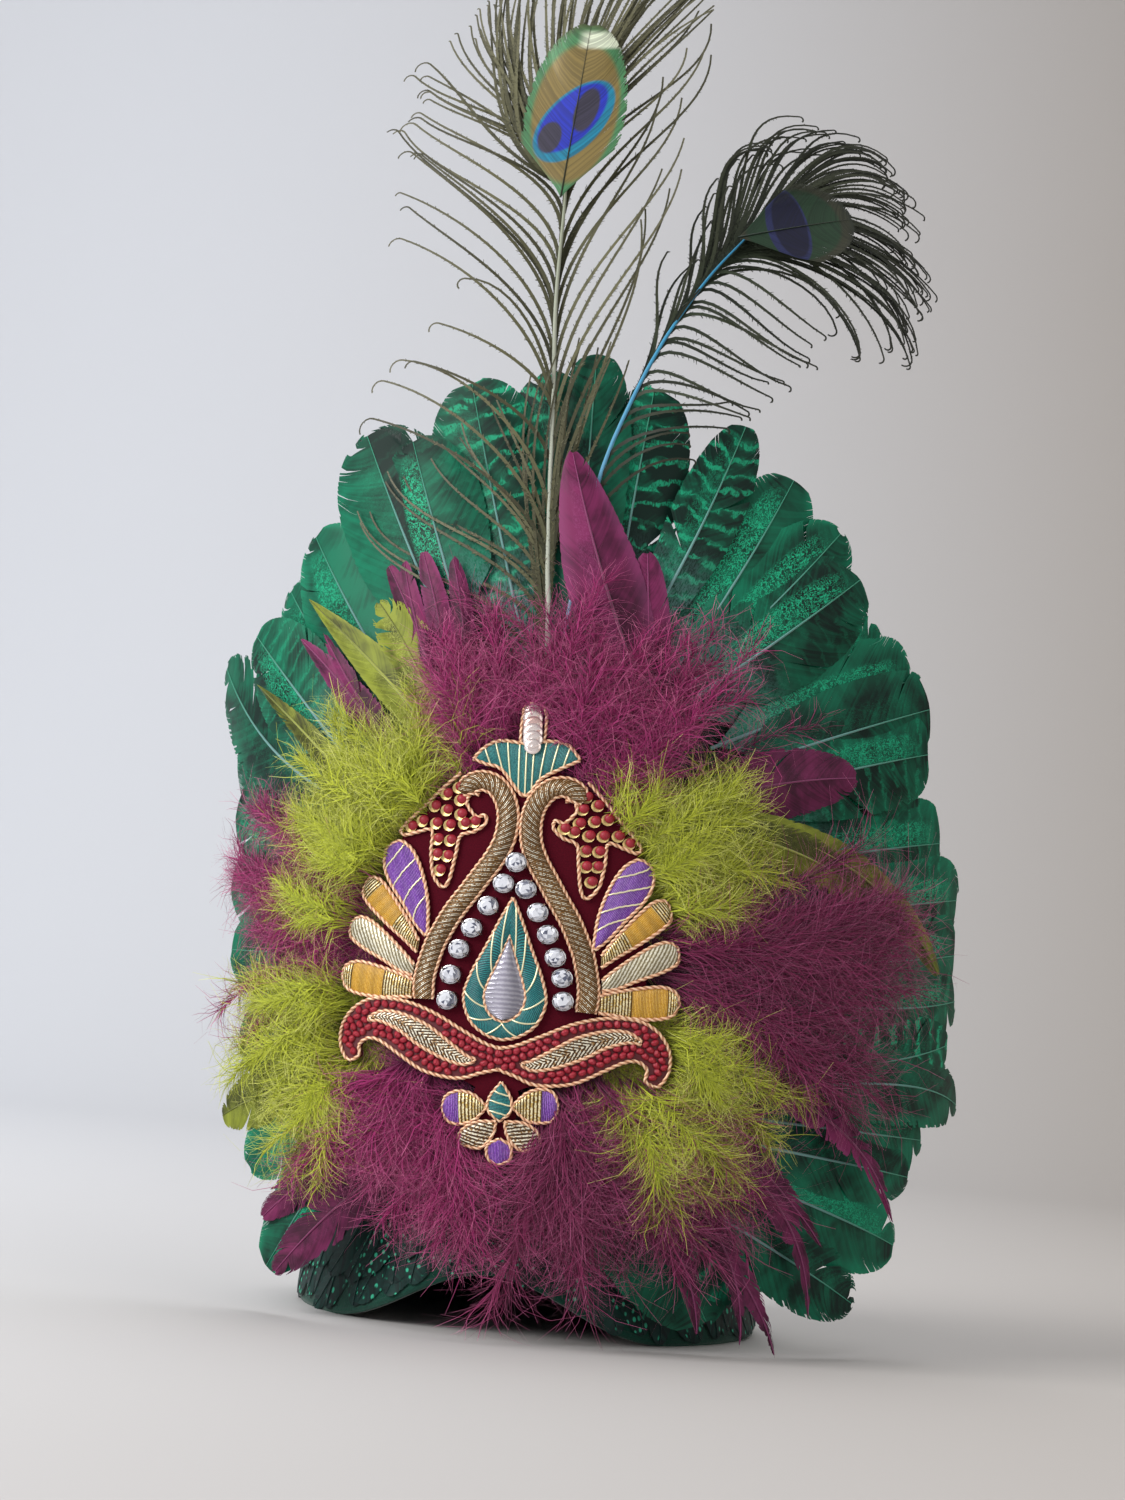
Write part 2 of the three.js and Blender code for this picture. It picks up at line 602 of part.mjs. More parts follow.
// Places of the stones on the patch, as shares of its two sizes, from the top down.
const STONES = namedRows([
  [0.004, 0.668], [-0.057, 0.62], [0.073, 0.611], [-0.135, 0.568], [0.151, 0.562], [-0.218, 0.516],
  [0.218, 0.515], [-0.282, 0.467], [0.272, 0.466], [-0.318, 0.409], [0.32, 0.422], [-0.325, 0.352],
  [0.336, 0.371],
], ['across', 'up']);

function buildStone() {
  const table = STONE_RADIUS * 0.6;
  const girdle = STONE_HEIGHT * 0.5;
  const profile = [
    new THREE.Vector2(0, 0), new THREE.Vector2(STONE_RADIUS, 0), new THREE.Vector2(STONE_RADIUS, girdle),
    new THREE.Vector2(table, STONE_HEIGHT), new THREE.Vector2(0, STONE_HEIGHT),
  ];
  return new THREE.LatheGeometry(profile, 8);
}

// Turns a piece modelled along +Y so that it stands out of the shield at a place.
function standOnShield(mesh, place, off) {
  const foot = onShield(place.across, place.height, off);
  const outward = onShield(place.across, place.height, off + 1).sub(foot);
  mesh.position.copy(foot);
  mesh.quaternion.setFromUnitVectors(point(0, 1, 0), outward.normalize());
  return mesh;
}

// Shafts of the two peacock feathers, from the root up. Across and up are shares of PEACOCK_HEIGHT,
// up from the root, and lift is how far the shaft stands out of its layer, as a share too.
const PEACOCKS = {
  peacock_tall: {
    shaft: [[0.016, 0, 0], [0, 0.22, 0], [-0.02, 0.44, 0], [-0.035, 0.6, 0.02], [-0.036, 0.7, 0.05],
      [-0.03, 0.8, 0.09]],
    eye: { across: -0.03, up: 0.82, lift: 0.1, tilt: 22, half: 0.4 },
  },
  peacock_curled: {
    shaft: [[0.024, 0, 0], [0.03, 0.22, 0], [0.047, 0.35, 0], [0.062, 0.45, 0], [0.1, 0.55, 0.025],
      [0.128, 0.6, 0.05], [0.158, 0.635, 0.075], [0.2, 0.665, 0.105]],
    eye: { across: 0.225, up: 0.68, lift: 0.12, tilt: 75, half: 0.3 },
  },
};

function peacockPlace([across, up, lift]) {
  return {
    across: across * PEACOCK_HEIGHT,
    height: PEACOCK_ROOT + up * PEACOCK_HEIGHT,
    off: layerMiddle(2) + lift * PEACOCK_HEIGHT,
  };
}

// Smooth curve in space through places.
function spaceCurve(places) {
  return smoothCurve(places.map((p) => onShield(p.across, p.height, p.off)));
}

// Round rod or strand along a curve, tapering from one radius to another.
function rod(route, sides, steps, from, to) {
  const rings = [];
  const across = point(1, 0, 0);
  for (let i = 0; i <= steps; i++) {
    const t = i / steps;
    const centre = route.getPoint(t);
    const along = route.getTangent(t);
    const u = across.clone().addScaledVector(along, -across.dot(along));
    if (u.length() < 0.3) u.set(0, 1, 0).addScaledVector(along, -along.y);
    u.normalize();
    const v = along.clone().cross(u);
    const radius = mix(from, to, t);
    rings.push(Array.from({ length: sides }, (_, k) => {
      const turn = k / sides * 2 * Math.PI;
      const spot = centre.clone().addScaledVector(u, radius * Math.cos(turn));
      return spot.addScaledVector(v, radius * Math.sin(turn));
    }));
  }
  return loft(rings);
}

// Strands of the peacock feathers: start is the share of the way from the root to the eye's middle
// where the first one leaves, end the last, side is -1 left or 1 right, reach and rise give the tip
// as shares of PEACOCK_HEIGHT at the first and the last strand, and out is how far the tips come
// forward.
const STRANDS = namedRows([
  ['peacock_tall', -1, 7, 0.23, 0.8, 0.28, 0.16, 0.33, 0.28, 0.02, 0.03],
  ['peacock_tall', 1, 5, 0.58, 0.82, 0.1, 0.18, 0.32, 0.26, 0.02, 0.03],
  ['peacock_tall', 1, 2, 0.82, 0.83, 0.16, -0.08, 0.27, 0.31, 0, 0],
  ['peacock_curled', 1, 6, 0.39, 0.84, 0.22, 0.26, 0.16, 0.02, 0.03, 0.04],
  ['peacock_curled', -1, 5, 0.52, 0.86, 0.02, -0.1, 0.22, 0.13, 0.03, 0.04],
  ['peacock_curled', 1, 3, 0.85, 0.87, 0.2, 0.26, 0.04, -0.14, 0.05, 0.06],
], ['feather', 'side', 'count', 'start', 'end', 'reach', 'reachLast', 'rise', 'riseLast', 'out', 'outLast']);

function buildStrand(shaft, stem, row, i) {
  const t = i / (row.count - 1);
  const from = mix(row.start, row.end, t);
  const k = from * (shaft.length - 1);
  const [a, b] = [shaft[Math.floor(k)], shaft[Math.floor(k) + 1]];
  const root = a.map((value, axis) => mix(value, b[axis], k - Math.floor(k)));
  const reach = row.side * mix(row.reach, row.reachLast, t);
  const rise = mix(row.rise, row.riseLast, t);
  const out = mix(row.out, row.outLast, t);
  const knee = [root[0] + reach * 0.35, root[1] + rise * 0.55 + Math.abs(reach) * 0.1, root[2] + out * 0.7];
  const tip = [root[0] + reach, root[1] + rise, root[2] + out];
  const route = spaceCurve([root, knee, tip].map(peacockPlace));
  route.points[0].copy(stem.getPoint(from));
  return rod(route, 3, 2, STRAND_RADIUS, STRAND_RADIUS * 0.5);
}

function buildEye(eye) {
  const centre = peacockPlace([eye.across, eye.up, eye.lift]);
  const long = EYE_LENGTH / 2;
  const wide = EYE_LENGTH * eye.half;
  const [s, c] = [Math.sin(rad(eye.tilt)), Math.cos(rad(eye.tilt))];
  const stops = [-1, -0.8, -0.35, 0.2, 0.7, 1];
  const line = stops.map((t) => ({
    across: centre.across + s * long * t,
    height: centre.height + c * long * t,
    off: centre.off,
    half: wide * Math.sqrt(Math.max(0.03, 1 - t * t)),
    side: [c, -s],
  }));
  return blade(line, EYE_THICKNESS);
}

function buildPeacock(name) {
  const { eye } = PEACOCKS[name];
  const shaft = [...PEACOCKS[name].shaft, [eye.across, eye.up, eye.lift]];
  const stem = spaceCurve(shaft.map(peacockPlace));
  const strands = STRANDS.filter((row) => row.feather === name).flatMap((row) => (
    Array.from({ length: row.count }, (_, i) => buildStrand(shaft, stem, row, i))
  ));
  return fuse([rod(stem, 6, 12, SHAFT_RADIUS, SHAFT_RADIUS * 0.8), buildEye(eye), ...strands]);
}

function finish(color, roughness, metalness = 0) {
  return new THREE.MeshStandardMaterial({ color, roughness, metalness });
}

const CLOTH = finish(0x0e3b30, 0.85);
const GREEN = finish(0x0f6a50, 0.5);
const SPOTTED = finish(0x0b4a44, 0.55);
const MAGENTA = finish(0x8a1b5c, 0.6);
const LIME = finish(0x9aa52e, 0.65);
const VELVET = finish(0x4a0f1e, 0.9);
const GOLD = finish(0xa8843e, 0.35, 0.8);
const RED = finish(0x8f1a22, 0.6);
const TEAL = finish(0x1f7a72, 0.5);
const SILVER = finish(0xd8d8de, 0.25, 0.6);
const CRYSTAL = finish(0xe6e8ee, 0.1, 0.2);
const PEACOCK = finish(0x3a4a2c, 0.5);

const headdress = new THREE.Group();

function addPiece(name, geometry, material) {
  const mesh = new THREE.Mesh(geometry, material);
  mesh.name = name;
  headdress.add(mesh);
  return mesh;
}

function featherFinish(name) {
  if (name.startsWith('magenta')) return MAGENTA;
  return name.startsWith('lime') ? LIME : GREEN;
}

addPiece('cap', buildCap(), CLOTH);
addPiece('front_panel', buildPanel(), CLOTH);
addPiece('spotted_band', buildBand(), SPOTTED);

const feathers = namedRows(FEATHERS, FEATHER_COLUMNS);
for (const name of new Set(feathers.map((row) => row.node))) {
  const rows = feathers.filter((row) => row.node === name);
  const blades = rows.map((row) => featherBlade(row, row.layer));
  const tape = rows.length > 1 ? [rootTape(rows)] : [];
  addPiece(name, fuse([...blades, ...tape]), featherFinish(name));
}

for (const row of PLUMES) addPiece(row.node, buildPlume(row), featherFinish(row.node));
for (const name of Object.keys(PEACOCKS)) addPiece(name, buildPeacock(name), PEACOCK);

addPiece('patch_ground', buildPatch(), VELVET);
addPiece('gold_scroll_left', scroll(GOLD_SCROLL, -1, 14), GOLD);
addPiece('gold_scroll_right', scroll(GOLD_SCROLL, 1, 14), GOLD);
addPiece('red_scroll', fuse([scroll(RED_SCROLL, -1, 10), scroll(RED_SCROLL, 1, 10)]), RED);
addPiece('teal_drop', buildTealDrop(), TEAL);
addPiece('silver_drop', drop(SILVER_DROP, PATCH_FACE + GAP, CORD_HEIGHT * 1.15), SILVER);

STONES.forEach((row, i) => {
  const name = `rhinestone_${String(i + 1).padStart(2, '0')}`;
  standOnShield(addPiece(name, buildStone(), CRYSTAL), onPatch(row.across, row.up), PATCH_FACE + GAP);
});

// The origin is under the middle of the whole object, on the plane that the rim rests on.
headdress.updateMatrixWorld(true);
const box = new THREE.Box3().setFromObject(headdress, true);
const middle = box.getCenter(point());
headdress.position.set(-middle.x, -middle.y, 0);

export default headdress;
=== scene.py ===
"""Feathered headdress dressed around its frame: fan feathers, down, peacock plumes and embroidery."""

import logging
import math
from dataclasses import dataclass, field
from enum import Enum
from typing import Callable, Iterable, Optional, Protocol, Sequence, Union

import bpy
import numpy as np
from mathutils import Matrix, Vector


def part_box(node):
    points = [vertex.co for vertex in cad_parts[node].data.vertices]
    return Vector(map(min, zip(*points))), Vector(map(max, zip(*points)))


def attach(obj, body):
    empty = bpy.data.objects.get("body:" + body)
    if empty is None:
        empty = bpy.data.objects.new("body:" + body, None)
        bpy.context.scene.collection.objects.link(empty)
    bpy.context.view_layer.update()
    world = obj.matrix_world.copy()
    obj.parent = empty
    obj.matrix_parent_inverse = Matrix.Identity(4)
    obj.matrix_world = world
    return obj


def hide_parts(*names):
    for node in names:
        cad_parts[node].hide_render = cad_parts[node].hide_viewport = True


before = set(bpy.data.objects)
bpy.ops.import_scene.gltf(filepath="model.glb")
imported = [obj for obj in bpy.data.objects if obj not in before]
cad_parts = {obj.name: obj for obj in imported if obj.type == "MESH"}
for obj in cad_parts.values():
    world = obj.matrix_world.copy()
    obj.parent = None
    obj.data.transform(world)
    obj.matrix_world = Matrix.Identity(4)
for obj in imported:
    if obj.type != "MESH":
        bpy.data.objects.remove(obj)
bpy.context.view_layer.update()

LOG = logging.getLogger("headdress")

Array = np.ndarray
Socket = bpy.types.NodeSocket
Material = bpy.types.Material
Tree = bpy.types.NodeTree
Colour = tuple[float, float, float, float]
Triple = tuple[float, float, float]
Pair = tuple[float, float]


def srgb(red: int, green: int, blue: int) -> Colour:
    """Turn a colour of 0 to 255 a channel into Blender's linear colour.

    Args:
        red: Red channel.
        green: Green channel.
        blue: Blue channel.

    Returns:
        Linear red, green, blue and an alpha of 1.
    """
    def linear(value: int) -> float:
        """Undo the screen's curve for one channel."""
        share = value / 255
        return share / 12.92 if share <= 0.04045 else ((share + 0.055) / 1.055) ** 2.4
    return linear(red), linear(green), linear(blue), 1.0


def vector3(first: Array, second: Array, third: Array) -> Array:
    """Stack three arrays, broadcast to one shape, into an array of vectors."""
    return np.stack(np.broadcast_arrays(first, second, third), -1).astype(float)


class Surface(Protocol):
    """A curved face that takes points of a flat layout."""

    def place(self, across: Array, height: Array, off: Array) -> Array:
        """Put points of the layout on the face."""


@dataclass(frozen=True)
class Shield:
    """Curved face on which everything at the front is laid, in metres.

    The sizes are those of the frame; the middle of the cap gives the frame's origin.
    """

    half_width: float = 0.142
    depth: float = 0.150
    front: float = 0.1003
    lean: float = 0.040
    lean_start: float = 0.150
    lean_span: float = 0.200
    fan_centre: float = 0.130
    fan_reach: float = 0.200

    def place(self, across: Array, height: Array, off: Array) -> Array:
        """Put points of the flat layout on the shield.

        Args:
            across: Distance along the curve from the middle.
            height: Height above the floor.
            off: Distance out of the face.

        Returns:
            Points in the frame, one vector each.
        """
        across, height, off = np.broadcast_arrays(across, height, off)
        turn = across / self.half_width
        rise = (height - self.lean_start) / self.lean_span
        back = self.lean * np.where(rise <= 0, 0, np.where(rise <= 1, rise * rise, 2 * rise - 1))
        slope = 2 * self.lean / self.lean_span * np.clip(rise, 0, 1)
        sine, cosine = np.sin(turn), np.cos(turn)
        out = vector3(self.depth * sine, -self.half_width * cosine, self.half_width * cosine * slope)
        out /= np.linalg.norm(out, axis=-1, keepdims=True)
        face = vector3(self.half_width * sine, self.depth * (1 - cosine) - self.front + back, height)
        return face + out * off[..., None] + MIDDLE

    def lay(self, flat: Array, off: Array) -> Array:
        """Put flat points, with across and height in their last axis, on the shield."""
        return self.place(flat[..., 0], flat[..., 1], off)

    def ring(self, middle: Pair, radius: Array, turn: Array, off: Array) -> Array:
        """Put points round a middle on the shield, at angles clockwise from straight up."""
        return self.place(middle[0] + radius * np.sin(turn), middle[1] + radius * np.cos(turn), off)

    def fan(self, angle: Array, share: Array) -> tuple[Array, Array]:
        """Find a place of the fan.

        Args:
            angle: Degrees from straight up, clockwise from the front.
            share: Distance from the fan's centre as a share of its reach.

        Returns:
            Across and height.
        """
        turn = np.radians(angle)
        reach = share * self.fan_reach
        return reach * np.sin(turn), self.fan_centre + reach * np.cos(turn)


def cap_middle() -> Array:
    """Middle of the cap in plan, which is the origin of the shield's sizes."""
    low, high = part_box("cap")
    return np.array([(low[0] + high[0]) / 2, (low[1] + high[1]) / 2, 0.0])


MIDDLE = cap_middle()
SHIELD = Shield()
LAYER_FLOOR = 0.0012
LAYER_STEP = 0.0024
FEATHER_WIDTH = 0.034


class Sketch:
    """Grids of quads gathered for one piece, with three vectors of values at each point."""

    VALUES = ("place", "trait", "extra")

    def __init__(self, name: str) -> None:
        """Start an empty piece of that name."""
        self.name = name
        self.points: list[Array] = []
        self.quads: list[Array] = []
        self.slots: list[Array] = []
        self.values: dict[str, list[Array]] = {key: [] for key in self.VALUES}
        self.count = 0

    def grids(self, points: Array, slot: int = 0, closed: bool = False, **values: Array) -> None:
        """Add equal grids of quads.

        Args:
            points: Array of shape (grids, rows, columns, 3).
            slot: Material slot of the grids.
            closed: Join each row's last point to its first.
            **values: Vectors for "place", "trait" or "extra", of any shape that broadcasts.
        """
        many, rows, columns, _ = points.shape
        ids = np.arange(many * rows * columns).reshape(many, rows, columns) + self.count
        left = np.arange(columns if closed else columns - 1)
        right = (left + 1) % columns
        low, high = ids[:, :-1], ids[:, 1:]
        quads = np.stack([low[:, :, left], low[:, :, right], high[:, :, right], high[:, :, left]], -1)
        self.points.append(points.reshape(-1, 3))
        self.quads.append(quads.reshape(-1, 4))
        self.slots.append(np.full(quads.size // 4, slot))
        for key in self.VALUES:
            value = np.broadcast_to(values.get(key, np.zeros(3)), points.shape)
            self.values[key].append(value.reshape(-1, 3))
        self.count += points.size // 3

    def sheet(self, points: Array, slot: int = 0, **values: Array) -> None:
        """Add one grid of shape (rows, columns, 3), with its values."""
        self.grids(points[None], slot, **values)

    def build(self, finishes: Sequence[Material], smooth: bool = True) -> bpy.types.Object:
        """Make the Blender object.

        Args:
            finishes: One material for each slot.
            smooth: Shade the faces smoothly.

        Returns:
            The new object, in the scene's collection.
        """
        points, quads = np.concatenate(self.points), np.concatenate(self.quads)
        mesh = bpy.data.meshes.new(self.name)
        mesh.vertices.add(len(points))
        mesh.vertices.foreach_set("co", points.ravel())
        mesh.loops.add(quads.size)
        mesh.loops.foreach_set("vertex_index", quads.ravel().astype(np.int32))
        mesh.polygons.add(len(quads))
        mesh.polygons.foreach_set("loop_start", (np.arange(len(quads)) * 4).astype(np.int32))
        mesh.polygons.foreach_set("material_index", np.concatenate(self.slots).astype(np.int32))
        mesh.polygons.foreach_set("use_smooth", np.full(len(quads), smooth))
        mesh.update(calc_edges=True)
        for key in self.VALUES:
            value = mesh.attributes.new(key, "FLOAT_VECTOR", "POINT")
            value.data.foreach_set("vector", np.concatenate(self.values[key]).ravel())
        for finish in finishes:
            mesh.materials.append(finish)
        piece = bpy.data.objects.new(self.name, mesh)
        bpy.context.scene.collection.objects.link(piece)
        return piece


def report(piece: bpy.types.Object, slot: str, nodes: Sequence[str] = ()) -> bpy.types.Object:
    """Let a piece ride on the headdress, hide the frame nodes it stands for, and log it with its material
    slot.

    Args:
        piece: The new piece.
        slot: Material slot, which only goes into the log.
        nodes: Frame nodes that the piece replaces.

    Returns:
        The piece.
    """
    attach(piece, "root")
    if nodes:
        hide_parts(*nodes)
    LOG.info("%s: %d faces, slot %s", piece.name, len(piece.data.polygons), slot)
    return piece


class Graph:
    """Short ways to add and join the nodes of one material or node group."""

    def __init__(self, tree: bpy.types.NodeTree) -> None:
        """Work on that tree."""
        self.tree = tree

    def add(self, kind: str, inputs: Optional[dict] = None, **settings: object) -> bpy.types.Node:
        """Add a node.

        Args:
            kind: Its type, without the leading ShaderNode.
            inputs: Values or sockets for its inputs, by name or index.
            **settings: Its properties.

        Returns:
            The node.
        """
        node = self.tree.nodes.new("ShaderNode" + kind)
        for key, value in settings.items():
            setattr(node, key, value)
        for key, value in (inputs or {}).items():
            self.feed(node.inputs[key], value)
        return node

    def feed(self, target: Socket, value: Union[Socket, float, Sequence[float]]) -> None:
        """Link a socket to an input, or set the input's own value."""
        if isinstance(value, bpy.types.NodeSocket):
            self.tree.links.new(value, target)
        else:
            target.default_value = value

    def math(self, operation: str, first: object, second: object = 0.0, clamp: bool = False) -> Socket:
        """Add a Math node.

        Args:
            operation: Its operation.
            first: First value or socket.
            second: Second value or socket.
            clamp: Keep the result between 0 and 1.

        Returns:
            Its output.
        """
        node = self.add("Math", {0: first, 1: second}, operation=operation, use_clamp=clamp)
        return node.outputs[0]

    def plus(self, first: object, second: object, clamp: bool = False) -> Socket:
        """Sum of two values."""
        return self.math("ADD", first, second, clamp)

    def minus(self, first: object, second: object) -> Socket:
        """Difference of two values."""
        return self.math("SUBTRACT", first, second)

    def times(self, first: object, second: object) -> Socket:
        """Product of two values."""
        return self.math("MULTIPLY", first, second)

    def ramp(self, value: Socket, low: float, high: float, start: float = 0.0, end: float = 1.0) -> Socket:
        """Change a value smoothly from start to end while it goes from low to high."""
        node = self.add("MapRange", {0: value, 1: low, 2: high, 3: start, 4: end},
                        interpolation_type="SMOOTHSTEP")
        return node.outputs[0]

    def mix(self, share: object, first: object, second: object, blend: str = "MIX") -> Socket:
        """Mix two colours.

        Args:
            share: Share of the second colour.
            first: First colour or socket.
            second: Second colour or socket.
            blend: Blend type.

        Returns:
            The mixed colour.
        """
        node = self.add("Mix", data_type="RGBA", blend_type=blend)
        self.feed(node.inputs[0], share)
        self.feed(node.inputs[6], first)
        self.feed(node.inputs[7], second)
        return node.outputs[2]

    def noise(self, vector: Socket, scale: float, detail: float = 2.0, distortion: float = 0.0) -> Socket:
        """Value of a noise pattern at a vector."""
        node = self.add("TexNoise", {"Vector": vector, "Scale": scale, "Detail": detail,
                                     "Distortion": distortion})
        return node.outputs[0]

    def split(self, vector: Socket) -> tuple[Socket, Socket, Socket]:
        """The three parts of a vector."""
        node = self.add("SeparateXYZ", {0: vector})
        return node.outputs[0], node.outputs[1], node.outputs[2]

    def join(self, first: object, second: object, third: object = 0.0) -> Socket:
        """A vector of three parts."""
        return self.add("CombineXYZ", {0: first, 1: second, 2: third}).outputs[0]

    def value(self, name: str) -> Socket:
        """The vector that the mesh keeps under a name at each point."""
        return self.add("Attribute", attribute_name=name).outputs["Vector"]

    def use(self, group: Tree, **inputs: object) -> bpy.types.Node:
        """Place a node group; an underscore in an input's name stands for a space."""
        node = self.add("Group", node_tree=group)
        for key, value in inputs.items():
            self.feed(node.inputs[key.replace("_", " ")], value)
        return node


SocketSpec = tuple[str, str, object]


def new_group(name: str, inputs: Iterable[SocketSpec], outputs: Iterable[tuple[str, str]]
              ) -> tuple[Graph, dict[str, Socket], bpy.types.Node]:
    """Start a shader node group with named inputs and outputs.

    Args:
        name: Name of the group.
        inputs: Name, kind (Float, Color or Vector) and default of each input.
        outputs: Name and kind of each output.

    Returns:
        The group's graph, its input sockets by name, and its output node.
    """
    tree = bpy.data.node_groups.new(name, "ShaderNodeTree")
    for label, kind, default in inputs:
        socket = tree.interface.new_socket(label, in_out="INPUT", socket_type="NodeSocket" + kind)
        if default is not None:
            socket.default_value = default
    for label, kind in outputs:
        tree.interface.new_socket(label, in_out="OUTPUT", socket_type="NodeSocket" + kind)
    source = tree.nodes.new("NodeGroupInput")
    return Graph(tree), {s.name: s for s in source.outputs}, tree.nodes.new("NodeGroupOutput")


def marking_group() -> Tree:
    """Group that paints a dyed vane: bars, a wavy streak beside the shaft, pale edges and a grey root.

    Returns:
        The group, with outputs Color and Height.
    """
    graph, given, out = new_group("Vane markings", [
        ("Dark", "Color", srgb(8, 40, 32)), ("Middle", "Color", srgb(16, 100, 74)),
        ("Bright", "Color", srgb(34, 170, 122)), ("Pale", "Color", srgb(120, 160, 150)),
    ], [("Color", "Color"), ("Height", "Float")])
    along, aside, tone = graph.split(graph.value("place"))
    bars, streak, pale = graph.split(graph.value("trait"))
    width, seed, shade = graph.split(graph.value("extra"))
    metric = graph.join(graph.times(width, 0.17), along, seed)
    cloud = graph.noise(metric, 7.0, 3.0, 0.4)
    fine = graph.noise(graph.join(graph.times(width, 0.6), along, seed), 60.0, 2.0, 0.8)
    base = graph.plus(graph.ramp(cloud, 0.32, 0.68, 0.0, 0.7), graph.times(tone, 0.34))
    lot = graph.minus(graph.math("FRACT", graph.times(seed, 7.3)), 0.5)
    halves = graph.times(graph.math("SIGN", aside), graph.times(lot, 0.7))
    base = graph.plus(base, halves)
    base = graph.plus(base, graph.minus(shade, 0.5), clamp=True)
    colour = graph.mix(base, given["Dark"], given["Middle"])
    drift = graph.noise(metric, 16.0, 2.0, 0.8)
    waves = graph.plus(graph.times(along, 82.0), graph.times(cloud, 9.0))
    waves = graph.plus(waves, graph.times(drift, 7.0))
    waves = graph.plus(waves, graph.times(graph.math("ABSOLUTE", width), -3.0))
    swing = graph.math("SINE", waves)
    wave = graph.ramp(swing, 0.45, 0.9)
    shadow = graph.times(graph.ramp(swing, -0.8, 0.2, 0.6, 0.0), bars)
    colour = graph.mix(shadow, colour, given["Dark"])
    broken = graph.times(graph.ramp(fine, 0.3, 0.55), graph.ramp(drift, 0.36, 0.52, 0.15, 1.0))
    bar = graph.times(graph.times(wave, broken), graph.times(bars, 0.75))
    colour = graph.mix(bar, colour, given["Bright"])
    left = graph.ramp(aside, -0.06, 0.02, 1.0, 0.0)
    near = graph.times(graph.ramp(graph.math("ABSOLUTE", aside), 0.42, 0.56, 1.0, 0.0), left)
    wriggle = graph.noise(graph.join(graph.times(width, 0.32), along, seed), 46.0, 1.0, 1.6)
    net = graph.ramp(graph.math("ABSOLUTE", graph.minus(wriggle, 0.5)), 0.02, 0.07, 1.0, 0.0)
    reach = graph.times(graph.ramp(along, 0.1, 0.28), graph.ramp(along, 0.8, 0.97, 1.0, 0.0))
    vein = graph.times(graph.times(near, net), graph.times(reach, streak))
    colour = graph.mix(vein, colour, given["Bright"])
    root = graph.times(graph.ramp(along, 0.12, 0.5, 0.62, 0.0), graph.ramp(fine, 0.35, 0.6))
    root = graph.times(root, graph.plus(streak, bars, clamp=True))
    colour = graph.mix(root, colour, given["Pale"])
    rim = graph.times(graph.ramp(graph.math("ABSOLUTE", aside), 0.55, 1.0), pale)
    colour = graph.mix(rim, colour, given["Bright"])
    graph.feed(out.inputs["Color"], colour)
    graph.feed(out.inputs["Height"], graph.plus(tone, graph.times(fine, 0.3)))
    return graph.tree


def strand_group() -> Tree:
    """Group that colours loose strands from a dark root over a full middle to a pale tip; the darkening
    towards the roots and in strands that lie low in their clump is painted shade.

    Returns:
        The group, with outputs Color and Height.
    """
    graph, given, out = new_group("Strand shade", [
        ("Root", "Color", srgb(30, 10, 20)), ("Body", "Color", srgb(120, 40, 90)),
        ("Tip", "Color", srgb(180, 90, 140)), ("Unevenness", "Float", 0.3),
    ], [("Color", "Color"), ("Height", "Float")])
    along, depth, tone = graph.split(graph.value("place"))
    # painted shade: strands are darker near their roots and where they lie low in the clump
    body = graph.ramp(graph.plus(graph.times(along, 0.65), graph.times(depth, 0.6)),
                      0.05, 0.75)
    colour = graph.mix(body, given["Root"], given["Body"])
    tip = graph.times(graph.ramp(along, 0.45, 1.0), graph.plus(tone, 0.25))
    colour = graph.mix(graph.times(tip, 0.8), colour, given["Tip"])
    uneven = graph.times(graph.minus(tone, 0.5), given["Unevenness"])
    bright = graph.add("HueSaturation", {"Value": graph.plus(uneven, 1.0), "Color": colour})
    graph.feed(out.inputs["Color"], bright.outputs[0])
    graph.feed(out.inputs["Height"], tone)
    return graph.tree


class Groups:
    """The shared node groups, each built when it is first asked for."""

    made: dict[str, Tree] = {}

    @classmethod
    def get(cls, maker: Callable[[], Tree]) -> Tree:
        """Return the group that the function makes."""
        if maker.__name__ not in cls.made:
            cls.made[maker.__name__] = maker()
        return cls.made[maker.__name__]


def start_material(name: str, **settings: object) -> tuple[Material, Graph, bpy.types.Node]:
    """Start a material.

    Args:
        name: Name of the material.
        **settings: Values of the Principled BSDF, with underscores for spaces.

    Returns:
        The material, its graph and its Principled BSDF node.
    """
    material = bpy.data.materials.new(name)
    material.use_nodes = True
    graph = Graph(material.node_tree)
    shader = material.node_tree.nodes["Principled BSDF"]
    for key, value in settings.items():
        shader.inputs[key.replace("_", " ")].default_value = value
    return material, graph, shader


def add_bump(graph: Graph, shader: bpy.types.Node, height: Socket, strength: float, distance: float) -> None:
    """Let a height change the shader's normal."""
    bump = graph.add("Bump", {"Height": height, "Strength": strength, "Distance": distance})
    graph.feed(shader.inputs["Normal"], bump.outputs[0])


@dataclass(frozen=True)
class VaneFinish:
    """Dyed vane: the colours of its markings and how satiny it is."""

    name: str
    dark: Colour
    middle: Colour
    bright: Colour
    pale: Colour
    roughness: float = 0.5
    sheen: float = 0.2

    def material(self) -> Material:
        """Build the material."""
        material, graph, shader = start_material(self.name, Roughness=self.roughness, Sheen_Weight=self.sheen,
                                       Sheen_Roughness=0.4, Specular_IOR_Level=0.22)
        marks = graph.use(Groups.get(marking_group), Dark=self.dark, Middle=self.middle,
                          Bright=self.bright, Pale=self.pale)
        graph.feed(shader.inputs["Base Color"], marks.outputs["Color"])
        add_bump(graph, shader, marks.outputs["Height"], 0.25, 0.0003)
        return material


